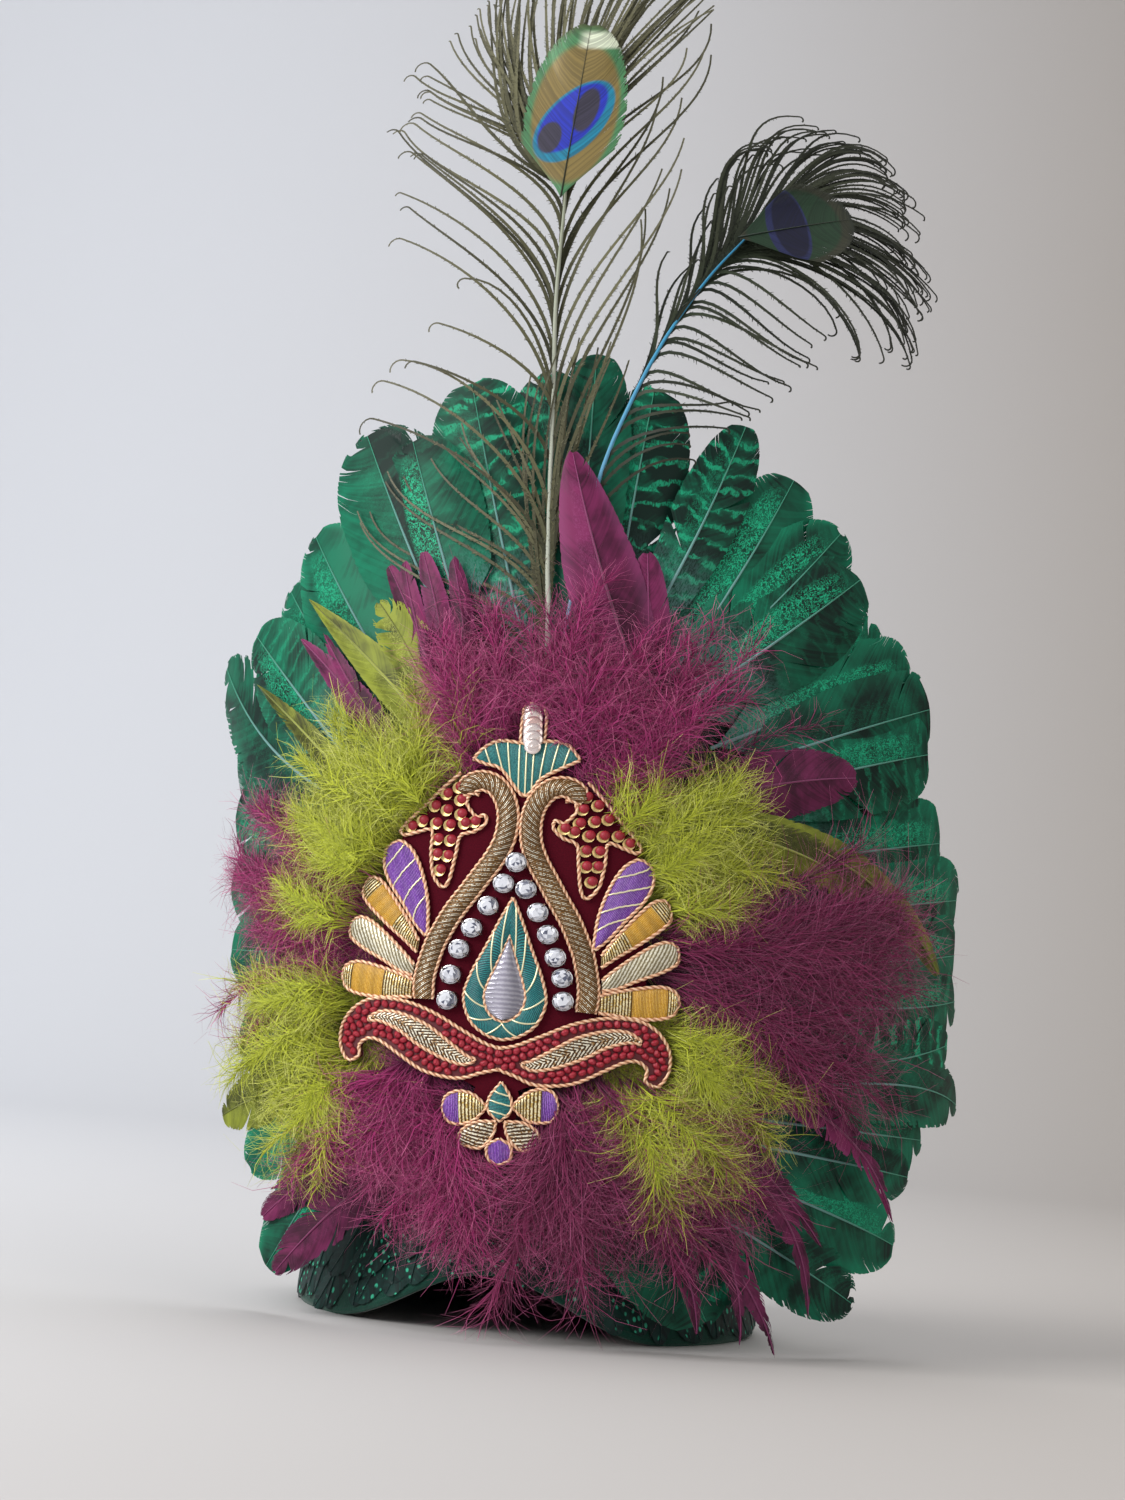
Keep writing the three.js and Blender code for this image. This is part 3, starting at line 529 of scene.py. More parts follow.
@dataclass(frozen=True)
class StrandFinish:
    """Loose down or strands: root, body and tip colours."""

    name: str
    root: Colour
    body: Colour
    tip: Colour
    unevenness: float = 0.5
    roughness: float = 0.75
    sheen: float = 0.3

    def material(self) -> Material:
        """Build the material."""
        material, graph, shader = start_material(self.name, Roughness=self.roughness, Sheen_Weight=self.sheen,
                                       Sheen_Roughness=0.5, Specular_IOR_Level=0.2)
        shade = graph.use(Groups.get(strand_group), Root=self.root, Body=self.body, Tip=self.tip,
                          Unevenness=self.unevenness)
        graph.feed(shader.inputs["Base Color"], shade.outputs["Color"])
        return material


@dataclass(frozen=True)
class Course:
    """Course of a shaft over the shield, from its root to its tip, in metres.

    The bow bends its middle clockwise and the hook its tip, both as shares of its length.
    """

    root: tuple[float, float]
    tip: tuple[float, float]
    off: tuple[float, float] = (0.0, 0.0)
    bow: float = 0.0
    hook: float = 0.0
    lift: float = 0.0

    @property
    def length(self) -> float:
        """Straight distance from the root to the tip."""
        return math.dist(self.root, self.tip)

    def spot(self, t: Array) -> tuple[Array, Array]:
        """Across and height at shares t of the course."""
        run = (self.tip[0] - self.root[0], self.tip[1] - self.root[1])
        bend = 4 * t * (1 - t) * self.bow + self.hook * t ** 4
        return self.root[0] + run[0] * t + run[1] * bend, self.root[1] + run[1] * t - run[0] * bend

    def at(self, t: Array) -> tuple[Array, Array, Array, Array, Array]:
        """Follow the course.

        Args:
            t: Shares of the course.

        Returns:
            Across, height, off, and the two parts of the clockwise side direction.
        """
        across, height = self.spot(t)
        ahead = self.spot(t + 1e-3)
        run = (ahead[0] - across, ahead[1] - height)
        size = np.hypot(*run)
        off = self.off[0] + (self.off[1] - self.off[0]) * t + 4 * t * (1 - t) * self.lift
        return across, height, off, run[1] / size, -run[0] / size


def tube(sketch: Sketch, points: Array, radius: Array, sides: int, slot: int, **values: Array) -> None:
    """Add a round tube along points in space.

    Args:
        sketch: Piece that takes the tube.
        points: Array of shape (count, 3).
        radius: Radius at each point, or at each point and side.
        sides: Points around.
        slot: Material slot.
        **values: Values for Sketch.grids.
    """
    ahead = np.gradient(points, axis=0)
    ahead /= np.linalg.norm(ahead, axis=1, keepdims=True)
    up = np.cross(ahead, np.array([0.31, 0.2, 0.93]))
    up /= np.linalg.norm(up, axis=1, keepdims=True)
    aside = np.cross(ahead, up)
    turn = np.arange(sides) / sides * 2 * np.pi
    radius = np.asarray(radius, float).reshape(len(np.atleast_1d(radius)), -1)
    radius = np.broadcast_to(radius, (len(points), sides))
    ring = up[:, None] * np.cos(turn)[None, :, None] + aside[:, None] * np.sin(turn)[None, :, None]
    sketch.grids((points[:, None] + ring * radius[..., None])[None], slot, True, **values)


@dataclass(frozen=True)
class Vane:
    """Cut of a feather: half width in metres, and shares for its tip, bare root, splits and fray."""

    half: float
    point: float = 0.35
    barbs: int = 84
    bare: float = 0.02
    sweep: float = 1.1
    splits: int = 3
    drift: float = 0.012
    fray: float = 0.03
    camber: float = 0.1
    shaft: float = 0.0007
    narrow: float = 1.0
    square: float = 2.0

    def share(self, t: Array) -> Array:
        """Half width along the feather as a share of its greatest."""
        rise = 0.34 + 0.66 * np.sin(np.minimum(1, t / 0.62) * np.pi / 2)
        end = np.clip((t - 1 + self.point) / self.point, 0, 1)
        return rise * np.maximum(0.004, 1 - end ** self.square) ** (1 / self.square)


BARB_STEPS = 5
BARB_OVERLAP = 0.2
BARB_JITTER = 0.0016
BARB_RIDGE = 0.00006
LAST_BARB = 0.985
VANE_RIPPLE = 0.00035
SHAFT_RISE = 0.0002


def grow_feather(sketch: Sketch, course: Course, vane: Vane, rng: np.random.Generator,
                 trait: Triple = (0.0, 0.0, 0.0), shade: float = 0.5, slots: tuple[int, int] = (0, 1),
                 surface: Surface = SHIELD) -> None:
    """Grow a feather: a shaft and, on both sides, barbs that lie edge to edge.

    Args:
        sketch: Piece that takes the feather.
        course: Course of its shaft.
        vane: Cut of its vanes.
        rng: Source of its unevenness.
        trait: Strength of its bars, streak and pale edge.
        shade: Lightness of the vane, 0 to 1.
        slots: Material slots of the vanes and the shaft.
        surface: Face on which the feather lies.
    """
    u = np.linspace(0, 1, BARB_STEPS)[None, :, None]
    seed = rng.uniform(0, 40)
    phases = rng.uniform(0, 6, 2)
    starts = np.linspace(vane.bare, LAST_BARB, vane.barbs + 1)
    lines = np.stack([starts[:-1], starts[1:] + BARB_OVERLAP * (starts[1] - starts[0])], -1)[:, None, :]
    for side, phase, width in ((-1.0, phases[0], 1.0), (1.0, phases[1], vane.narrow)):
        cuts = np.sort(rng.uniform(0.2, 0.96, vane.splits))
        drift = rng.normal(0, vane.drift, vane.splits + 1)[np.searchsorted(cuts, starts[:-1])]
        drift = (drift + rng.normal(0, BARB_JITTER, vane.barbs))[:, None, None]
        fray = rng.uniform(0, vane.fray, vane.barbs)[:, None, None]
        reach = 1 - fray * rng.uniform(0, 1, (vane.barbs, 1, 1))
        out = u * reach
        sweep = np.minimum(vane.sweep * vane.half / course.length, 0.62 * (1 - lines))
        t = np.clip(lines + sweep * out ** 1.2 + drift * out * out, 0, 1)
        lateral = side * vane.half * vane.share(t) * out * width
        across, height, off, side_x, side_y = course.at(t)
        ripple = VANE_RIPPLE * np.sin(9 * t + phase) * out
        ridge = np.array([0.0, BARB_RIDGE]) * (0.4 + out)
        off = off - vane.camber * lateral * lateral / vane.half + ripple + ridge
        points = surface.place(across + lateral * side_x, height + lateral * side_y, off)
        tone = rng.uniform(0, 1, (vane.barbs, 1, 1))
        sketch.grids(points, slots[0], place=vector3(t, side * out, tone), trait=np.array(trait),
                     extra=vector3(lateral / vane.half, seed, shade))
    t = np.linspace(0, LAST_BARB, 22)
    across, height, off, _, _ = course.at(t)
    tube(sketch, surface.place(across, height, off + SHAFT_RISE), vane.shaft * (1 - 0.82 * t), 5, slots[1],
         place=vector3(t, 0.0, 0.5)[None, :, None], trait=np.array(trait))


class Marking(Enum):
    """Kinds of dyed vane, each with the strength of its bars, streak and pale edge, and its lightness."""

    BARRED = (1.0, 0.2, 0.1, 0.42)
    BARRED_DARK = (0.9, 0.3, 0.0, 0.26)
    STREAKED = (0.0, 1.0, 0.25, 0.5)
    STREAKED_DARK = (0.12, 1.0, 0.05, 0.3)
    SPECKLED = (0.35, 0.8, 0.1, 0.42)
    PLAIN = (0.0, 0.25, 0.3, 0.55)
    DEEP = (0.05, 0.1, 0.1, 0.3)
    BRIGHT = (0.0, 0.7, 0.3, 0.75)


@dataclass(frozen=True)
class Feather:
    """One feather of the fan: angles in degrees, lengths as shares of the fan and feather sizes."""

    node: str
    layer: float
    root_angle: float
    root: float
    tip_angle: float
    tip: float
    width: float
    point: float
    bow: float
    marking: Marking = Marking.PLAIN
    hook: float = 0.0
    splits: int = 3
    fray: float = 0.04
    square: float = 2.2

    def course(self) -> Course:
        """Course of the shaft on the shield."""
        root = SHIELD.fan(self.root_angle, self.root)
        tip = SHIELD.fan(self.tip_angle, self.tip)
        off = LAYER_FLOOR + LAYER_STEP * self.layer
        return Course(root, tip, (off, off), self.bow, self.hook)

    def vane(self) -> Vane:
        """Cut of the vanes."""
        return Vane(FEATHER_WIDTH / 2 * self.width, self.point, splits=self.splits, fray=self.fray,
                    drift=0.006 + 0.005 * self.splits, square=self.square)

    def grow(self, sketch: Sketch, rng: np.random.Generator, painted_shade: float = 0.0) -> None:
        """Grow the feather in a piece, in its own marking, made darker by any painted shade."""
        *trait, shade = self.marking.value
        grow_feather(sketch, self.course(), self.vane(), rng, tuple(trait), shade - painted_shade)


@dataclass(frozen=True)
class FeatherSet:
    """Feathers that are built alike, one piece for each node."""

    rows: tuple[Feather, ...]
    seed: int
    scene_only: tuple[str, ...] = ()

    def build(self, finishes: Sequence[Material], slot: str) -> None:
        """Build every node's feathers as one piece.

        Args:
            finishes: Materials of the vanes and the shafts.
            slot: Material slot, which only goes into the log.
        """
        for node in dict.fromkeys(row.node for row in self.rows):
            sketch = Sketch(node + "_vanes")
            for i, row in enumerate(row for row in self.rows if row.node == node):
                row.grow(sketch, np.random.default_rng(self.seed + i + sum(map(ord, node))))
            report(sketch.build(finishes), slot, () if node in self.scene_only else [node])


M = Marking


@dataclass(frozen=True)
class Fan:
    """The fan of green feathers, and the short dark ones behind it."""

    feathers: FeatherSet = FeatherSet((
        Feather("feather_top_1", 1, -3, 0.46, -11, 0.965, 1.22, 0.3, 0, M.BARRED),
        Feather("feather_top_2", 0, 1, 0.46, -3, 0.975, 1.0, 0.35, 0, M.BARRED_DARK),
        Feather("feather_top_3", 1.1, 6.5, 0.48, 1.5, 1.01, 0.8, 0.35, 0, M.DEEP),
        Feather("feather_top_4", 0.1, 12, 0.5, 7.7, 0.97, 1.0, 0.35, 0, M.BARRED_DARK),
        Feather("feather_top_5", 2, 16.8, 0.53, 17.7, 0.945, 0.7, 0.42, 0.02, M.BARRED_DARK),
        Feather("feather_left_1", 2, -17.6, 0.5, -23.6, 0.925, 1.34, 0.32, 0, M.DEEP, splits=6),
        Feather("feather_left_1", 2.2, -14.3, 0.5, -18, 0.875, 1.08, 0.35, 0, M.STREAKED_DARK),
        Feather("feather_left_2", 1, -31, 0.44, -35, 0.82, 1.28, 0.45, 0, M.BRIGHT),
        Feather("feather_left_3", 0, -40, 0.42, -42.8, 0.79, 1.23, 0.5, 0, M.BRIGHT),
        Feather("feather_left_4", 2, -49, 0.41, -50, 0.77, 1.12, 0.5, 0.02, M.SPECKLED),
        Feather("feather_left_5", 1, -58, 0.4, -57, 0.86, 1, 0.45, -0.06, M.DEEP, -0.05, 7, 0.3),
        Feather("feather_left_6", 0, -68, 0.34, -63, 0.715, 1.19, 0.45, -0.03, M.SPECKLED),
        Feather("feather_left_6", 0.4, -75, 0.31, -71.5, 0.655, 1.12, 0.5, -0.03, M.SPECKLED),
        Feather("feather_left_7", 2, -91, 0.27, -83, 0.585, 1.03, 0.5, 0, M.STREAKED),
        Feather("feather_left_7", 2.2, -101, 0.27, -95.6, 0.56, 1.03, 0.5, 0, M.PLAIN),
        Feather("feather_left_7", 2.0, -119, 0.3, -113, 0.55, 1.03, 0.5, 0, M.PLAIN),
        Feather("feather_left_7", 2.2, -130, 0.33, -133, 0.615, 0.92, 0.5, 0, M.BRIGHT),
        Feather("feather_left_7", 2.0, -143, 0.35, -146, 0.7, 0.86, 0.5, 0, M.STREAKED),
        Feather("feather_right_1", 1, 24.5, 0.48, 25.2, 0.91, 1.12, 0.42, 0.02, M.STREAKED),
        Feather("feather_right_1", 1.5, 27.2, 0.46, 33.2, 0.885, 1.08, 0.36, 0.01, M.STREAKED),
        Feather("feather_right_2", 2, 30, 0.47, 38.6, 0.85, 1.12, 0.34, 0, M.STREAKED_DARK, splits=5),
        Feather("feather_right_3", 0.6, 33, 0.46, 46.6, 0.83, 1.1, 0.32, 0, M.BRIGHT),
        Feather("feather_right_4", 1.2, 40, 0.445, 53.2, 0.85, 1.11, 0.3, -0.02, M.STREAKED, square=3.6),
        Feather("feather_right_5", 2, 46, 0.43, 57.5, 0.865, 0.99, 0.34, -0.02, M.DEEP, square=3.6),
        Feather("feather_right_5", 2.3, 51, 0.405, 62.2, 0.825, 0.99, 0.34, -0.02, M.SPECKLED, square=3.6),
        Feather("feather_right_6", 0, 60, 0.395, 67.5, 0.815, 1.06, 0.36, -0.02, M.STREAKED, square=3.6),
        Feather("feather_right_6", 0.4, 68, 0.37, 74, 0.87, 1.01, 0.3, -0.02,
                M.SPECKLED, splits=6, square=3.6),
        Feather("feather_right_7", 1, 82, 0.36, 81, 0.93, 0.99, 0.3, -0.02, M.SPECKLED, square=3.6),
        Feather("feather_right_7", 1.3, 92, 0.36, 87, 0.92, 0.99, 0.3, 0, M.STREAKED, square=3.6),
        Feather("feather_right_7", 1.6, 100, 0.37, 92, 0.93, 0.94, 0.3, 0.02,
                M.SPECKLED, splits=5, square=3.6),
        Feather("feather_right_8", 2, 115, 0.42, 97, 0.9, 0.84, 0.4, 0.02, M.BARRED),
        Feather("feather_right_8", 2.3, 120, 0.44, 101.5, 0.98, 0.84, 0.4, -0.04, M.DEEP, 0.04, 5, 0.2),
        Feather("feather_right_9", 0, 124, 0.46, 108, 0.91, 1.01, 0.4, 0, M.PLAIN, splits=5),
        Feather("feather_right_9", 0.3, 129, 0.47, 113, 0.885, 0.77, 0.4, 0, M.DEEP),
        Feather("feather_right_9", 0, 134, 0.49, 120.5, 0.915, 0.99, 0.4, 0, M.BRIGHT),
        Feather("feather_right_9", 0.3, 142, 0.5, 130, 0.875, 0.84, 0.4, 0, M.DEEP, splits=6, fray=0.2),
    ), 100)
    vane: VaneFinish = VaneFinish("Green vane", srgb(2, 34, 26), srgb(4, 112, 82), srgb(30, 182, 134),
                                  srgb(100, 146, 142), 0.55, 0.1)
    shaft: StrandFinish = StrandFinish("Green shaft", srgb(120, 160, 160), srgb(60, 140, 120),
                                       srgb(30, 150, 110))
    under_angles: Triple = (-128, 150, 12.5)
    under_turns: tuple[float, ...] = (-120, -60, 0, 60, 120)
    under_reaches: tuple[float, ...] = (0.52, 0.58, 0.74, 0.72, 0.7)

    def build(self) -> None:
        """Build the fan and the row behind it."""
        finishes = [self.vane.material(), self.shaft.material()]
        self.feathers.build(finishes, "green_feather")
        self.under_row(finishes)

    def under_row(self, finishes: Sequence[Material]) -> None:
        """Build the short dark feathers behind the fan, which close the gaps between its shafts; they get
        extra painted shade for lying under the fan.
        """
        sketch = Sketch("under_row_vanes")
        rng = np.random.default_rng(77)
        for i, angle in enumerate(np.arange(*self.under_angles)):
            reach = np.interp(angle, self.under_turns, self.under_reaches) * rng.uniform(0.94, 1.04)
            row = Feather("under_row", -0.4 + 0.3 * (i % 2), angle, 0.12, angle + rng.normal(0, 2), reach,
                          1.5, 0.5, 0, M.DEEP if i % 3 else M.BARRED_DARK, splits=5)
            # painted shade for the feathers that lie under the fan
            row.grow(sketch, rng, 0.08)
        report(sketch.build(finishes), "green_feather")


def spot_group() -> Tree:
    """Group that paints small pale spots in rows over a dark vane.

    Returns:
        The group, with output Color.
    """
    graph, given, out = new_group("Vane spots", [
        ("Ground", "Color", srgb(6, 26, 26)), ("Mid", "Color", srgb(10, 62, 54)),
        ("Spot", "Color", srgb(60, 190, 150)),
    ], [("Color", "Color")])
    along, _, tone = graph.split(graph.value("place"))
    width, seed, _ = graph.split(graph.value("extra"))
    spot = graph.join(graph.times(width, 3.4), graph.times(along, 13.0), seed)
    cells = graph.add("TexVoronoi", {"Vector": spot, "Scale": 1.0, "Randomness": 0.45})
    dot = graph.ramp(cells.outputs["Distance"], 0.2, 0.34, 1.0, 0.0)
    share = graph.noise(graph.join(width, graph.times(along, 3.0), seed), 3.0, 1.0)
    dot = graph.times(dot, graph.ramp(share, 0.42, 0.56))
    dot = graph.times(dot, graph.ramp(along, 0.15, 0.4))
    colour = graph.mix(graph.times(tone, 0.7), given["Ground"], given["Mid"])
    graph.feed(out.inputs["Color"], graph.mix(dot, colour, given["Spot"]))
    return graph.tree


@dataclass(frozen=True)
class CapSide:
    """Outside of the cap, in metres, with across as the distance round it from the front."""

    half_width: float = 0.077
    half_depth: float = 0.0934
    wall: float = 0.0026
    height: float = 0.122
    squareness: float = 2.4
    brow_rise: float = 0.020
    brow_half_span: float = 0.056
    radius: float = 0.0865

    def place(self, across: Array, height: Array, off: Array) -> Array:
        """Put points on the cap.

        Args:
            across: Distance round the cap from its front.
            height: Height above the floor.
            off: Distance out of the cap.

        Returns:
            Points in the frame, one vector each.
        """
        across, height, off = np.broadcast_arrays(across, height, off)
        turn = across / self.radius
        grow = self.wall + off
        share = np.clip(height, 0, self.height) / (self.height - self.wall + grow)
        factor = np.maximum(0, 1 - share ** self.squareness) ** (1 / self.squareness)
        return vector3((self.half_width + grow) * factor * np.sin(turn),
                       -(self.half_depth + grow) * factor * np.cos(turn), height) + MIDDLE

    def edge(self, across: float) -> float:
        """Height of the cap's rim, with its raised brow."""
        aside = self.half_width * math.sin(across / self.radius)
        if abs(aside) > self.brow_half_span or math.cos(across / self.radius) < 0:
            return 0.0
        return self.brow_rise * math.cos(aside / self.brow_half_span * math.pi / 2) ** 2


@dataclass(frozen=True)
class Band:
    """The band of small spotted feathers round the brow, and the cloth of the cap and the panel.

    Each row of feathers has the height of its roots, of its tips over the rim, and its distance off.
    """

    side: CapSide = CapSide()
    half_span: float = 0.117
    step: float = 0.0058
    rows: tuple[Triple, ...] = ((0.044, 0.002, 0.0006), (0.050, 0.013, 0.0016))
    feather_half: float = 0.0072
    fan_out: float = 0.05
    unevenness: float = 0.0012
    hem_radius: float = 0.0013
    hem_inset: float = 0.0011
    seam_half: float = 0.0012
    seam_radius: float = 0.0004
    stitch_rise: float = 0.00016
    seam_points: int = 60

    def spotted(self) -> Material:
        """Material of the spotted vanes."""
        material, graph, shader = start_material("Spotted vane", Roughness=0.5, Specular_IOR_Level=0.25)
        graph.feed(shader.inputs["Base Color"], graph.use(Groups.get(spot_group)).outputs["Color"])
        return material

    def felt(self) -> Material:
        """Dark green felt of the cap."""
        material, graph, shader = start_material("Green felt", Roughness=0.92, Sheen_Weight=0.3,
                                                 Specular_IOR_Level=0.15)
        spot = graph.add("TexCoord").outputs["Object"]
        fibres = graph.noise(spot, 900.0, 3.0, 0.6)
        cloud = graph.noise(spot, 40.0, 2.0)
        tone = graph.plus(graph.times(fibres, 0.7), graph.times(cloud, 0.4), clamp=True)
        graph.feed(shader.inputs["Base Color"], graph.mix(tone, srgb(6, 36, 30), srgb(18, 78, 62)))
        add_bump(graph, shader, fibres, 0.5, 0.0003)
        return material

    def feathers(self) -> None:
        """Build the band as one piece."""
        sketch = Sketch("spotted_band_vanes")
        rng = np.random.default_rng(61)
        for root, above_rim, off in self.rows:
            for across in np.arange(-self.half_span, self.half_span + 1e-6, self.step):
                across += rng.normal(0, self.unevenness)
                end = across + self.fan_out * across / self.half_span + rng.normal(0, 0.0022)
                tip = (end, self.side.edge(end) + above_rim + rng.normal(0.0005, self.unevenness))
                lie = off + rng.uniform(0, 0.0007)
                course = Course((across, root), tip, (lie, lie + 0.0004), rng.normal(0, 0.05))
                vane = Vane(self.feather_half * rng.uniform(0.85, 1.15), 0.5, barbs=26, splits=1, fray=0.15)
                grow_feather(sketch, course, vane, rng, surface=self.side)
        shaft = StrandFinish("Spotted shaft", srgb(20, 60, 56), srgb(20, 60, 56), srgb(10, 40, 40))
        report(sketch.build([self.spotted(), shaft.material()]), "spotted_feather", ["spotted_band"])

    def cap(self, felt: Material) -> None:
        """Build the felt cap with its turned hem and the two seams over its crown."""
        sketch = Sketch("cap_felt")
        side = self.side
        round_it = np.linspace(-np.pi, np.pi, 97) * side.radius
        rim = np.array([side.edge(across) for across in round_it])
        share = np.sin(np.linspace(0, np.pi / 2, 36))[:, None]
        for off in (0.0, -side.wall):
            points = side.place(round_it, rim + (side.height + off - rim) * share, off)
            sketch.sheet(points if off else points[:, ::-1])
        hem = side.place(round_it, rim + self.hem_radius, -self.hem_inset)
        tube(sketch, hem, self.hem_radius * 1.2, 8, 0)
        height = np.sin(np.linspace(0.02, 0.995 * np.pi / 2, self.seam_points)) * side.height
        stitches = self.stitch_rise * (np.arange(self.seam_points) % 2)
        for turn in (-np.pi / 2, np.pi / 2):
            for beside in (-self.seam_half, self.seam_half):
                seam = side.place(turn * side.radius + beside, height, stitches)
                tube(sketch, seam, self.seam_radius, 5, 0)
        report(sketch.build([felt]), "cap_cloth", ["cap"])

    def build(self) -> None:
        """Build the band and the cap, and dress the front panel in the cap's felt."""
        self.feathers()
        felt = self.felt()
        panel = bpy.data.objects["front_panel"]
        panel.data.materials.clear()
        panel.data.materials.append(felt)
        self.cap(felt)


@dataclass(frozen=True)
class PatchOutline:
    """Outline of the embroidered patch: half widths and heights as shares of its two sizes.

    The motifs' face, the velvet ground and the patch's floor are heights over the shield.
    """

    half_width: float = 0.051
    height: float = 0.146
    bottom: float = 0.057
    face: float = 0.0158
    ground: float = 0.0150
    floor: float = 0.0139
    levels: tuple[float, ...] = (0, 0.035, 0.08, 0.12, 0.15, 0.165, 0.185, 0.25, 0.315, 0.34, 0.42, 0.5,
                                 0.565, 0.615, 0.66, 0.71, 0.76, 0.84, 0.875, 0.89, 0.92, 0.93, 0.98, 1)
    halves: tuple[float, ...] = (0.06, 0.14, 0.27, 0.36, 0.37, 0.4, 0.98, 1.03, 1.0, 1.03, 1.0, 1.0,
                                 0.96, 0.9, 0.8, 0.76, 0.6, 0.44, 0.24, 0.35, 0.33, 0.12, 0.1, 0.06)

    def spot(self, across: Array, up: Array) -> tuple[Array, Array]:
        """Across and height on the shield of a place given as shares of the patch."""
        return np.asarray(across) * self.half_width, self.bottom + np.asarray(up) * self.height

    def flat(self, places: Array) -> Array:
        """Flat points, with across and height in their last axis, of places given as shares."""
        return np.stack(self.spot(*np.asarray(places).T), 1)

    def covers(self, across: Array, height: Array, margin: float = 0.0) -> Array:
        """Tell which points lie under the patch, with a margin in metres round it."""
        share = (height - self.bottom) / self.height
        half = self.half_width * np.interp(share, self.levels, self.halves, 0, 0)
        return np.abs(across - 0.004 * self.half_width) < np.where(half > 0, half + margin, 0)

    def reach(self, angle: float) -> float:
        """Distance from the fan's centre to the outline along an angle in degrees."""
        out = np.linspace(0, self.height, 300)
        across = np.abs(out * math.sin(math.radians(angle)))
        share = (SHIELD.fan_centre + out * math.cos(math.radians(angle)) - self.bottom) / self.height
        half = self.half_width * np.interp(share, self.levels, self.halves, 0, 0)
        return float(out[across <= half].max(initial=0.02))


PATCH = PatchOutline()
PAD_FLOOR = 0.0105


@dataclass(frozen=True)
class Clump:
    """A clump of down between two angles: reach as a share of the fan, lift and hair lengths in metres."""

    node: str
    first: float
    last: float
    reach: float
    lift: float
    spines: int = 26
    hair: float = 0.016
    wisps: float = 0.25
    spread: float = 5.0
    # the clump takes the darker magenta down: its own deeper dye with painted shade, on the right, away from
    # the key lamp
    deep_shaded: bool = False
    sweep: float = 44.0


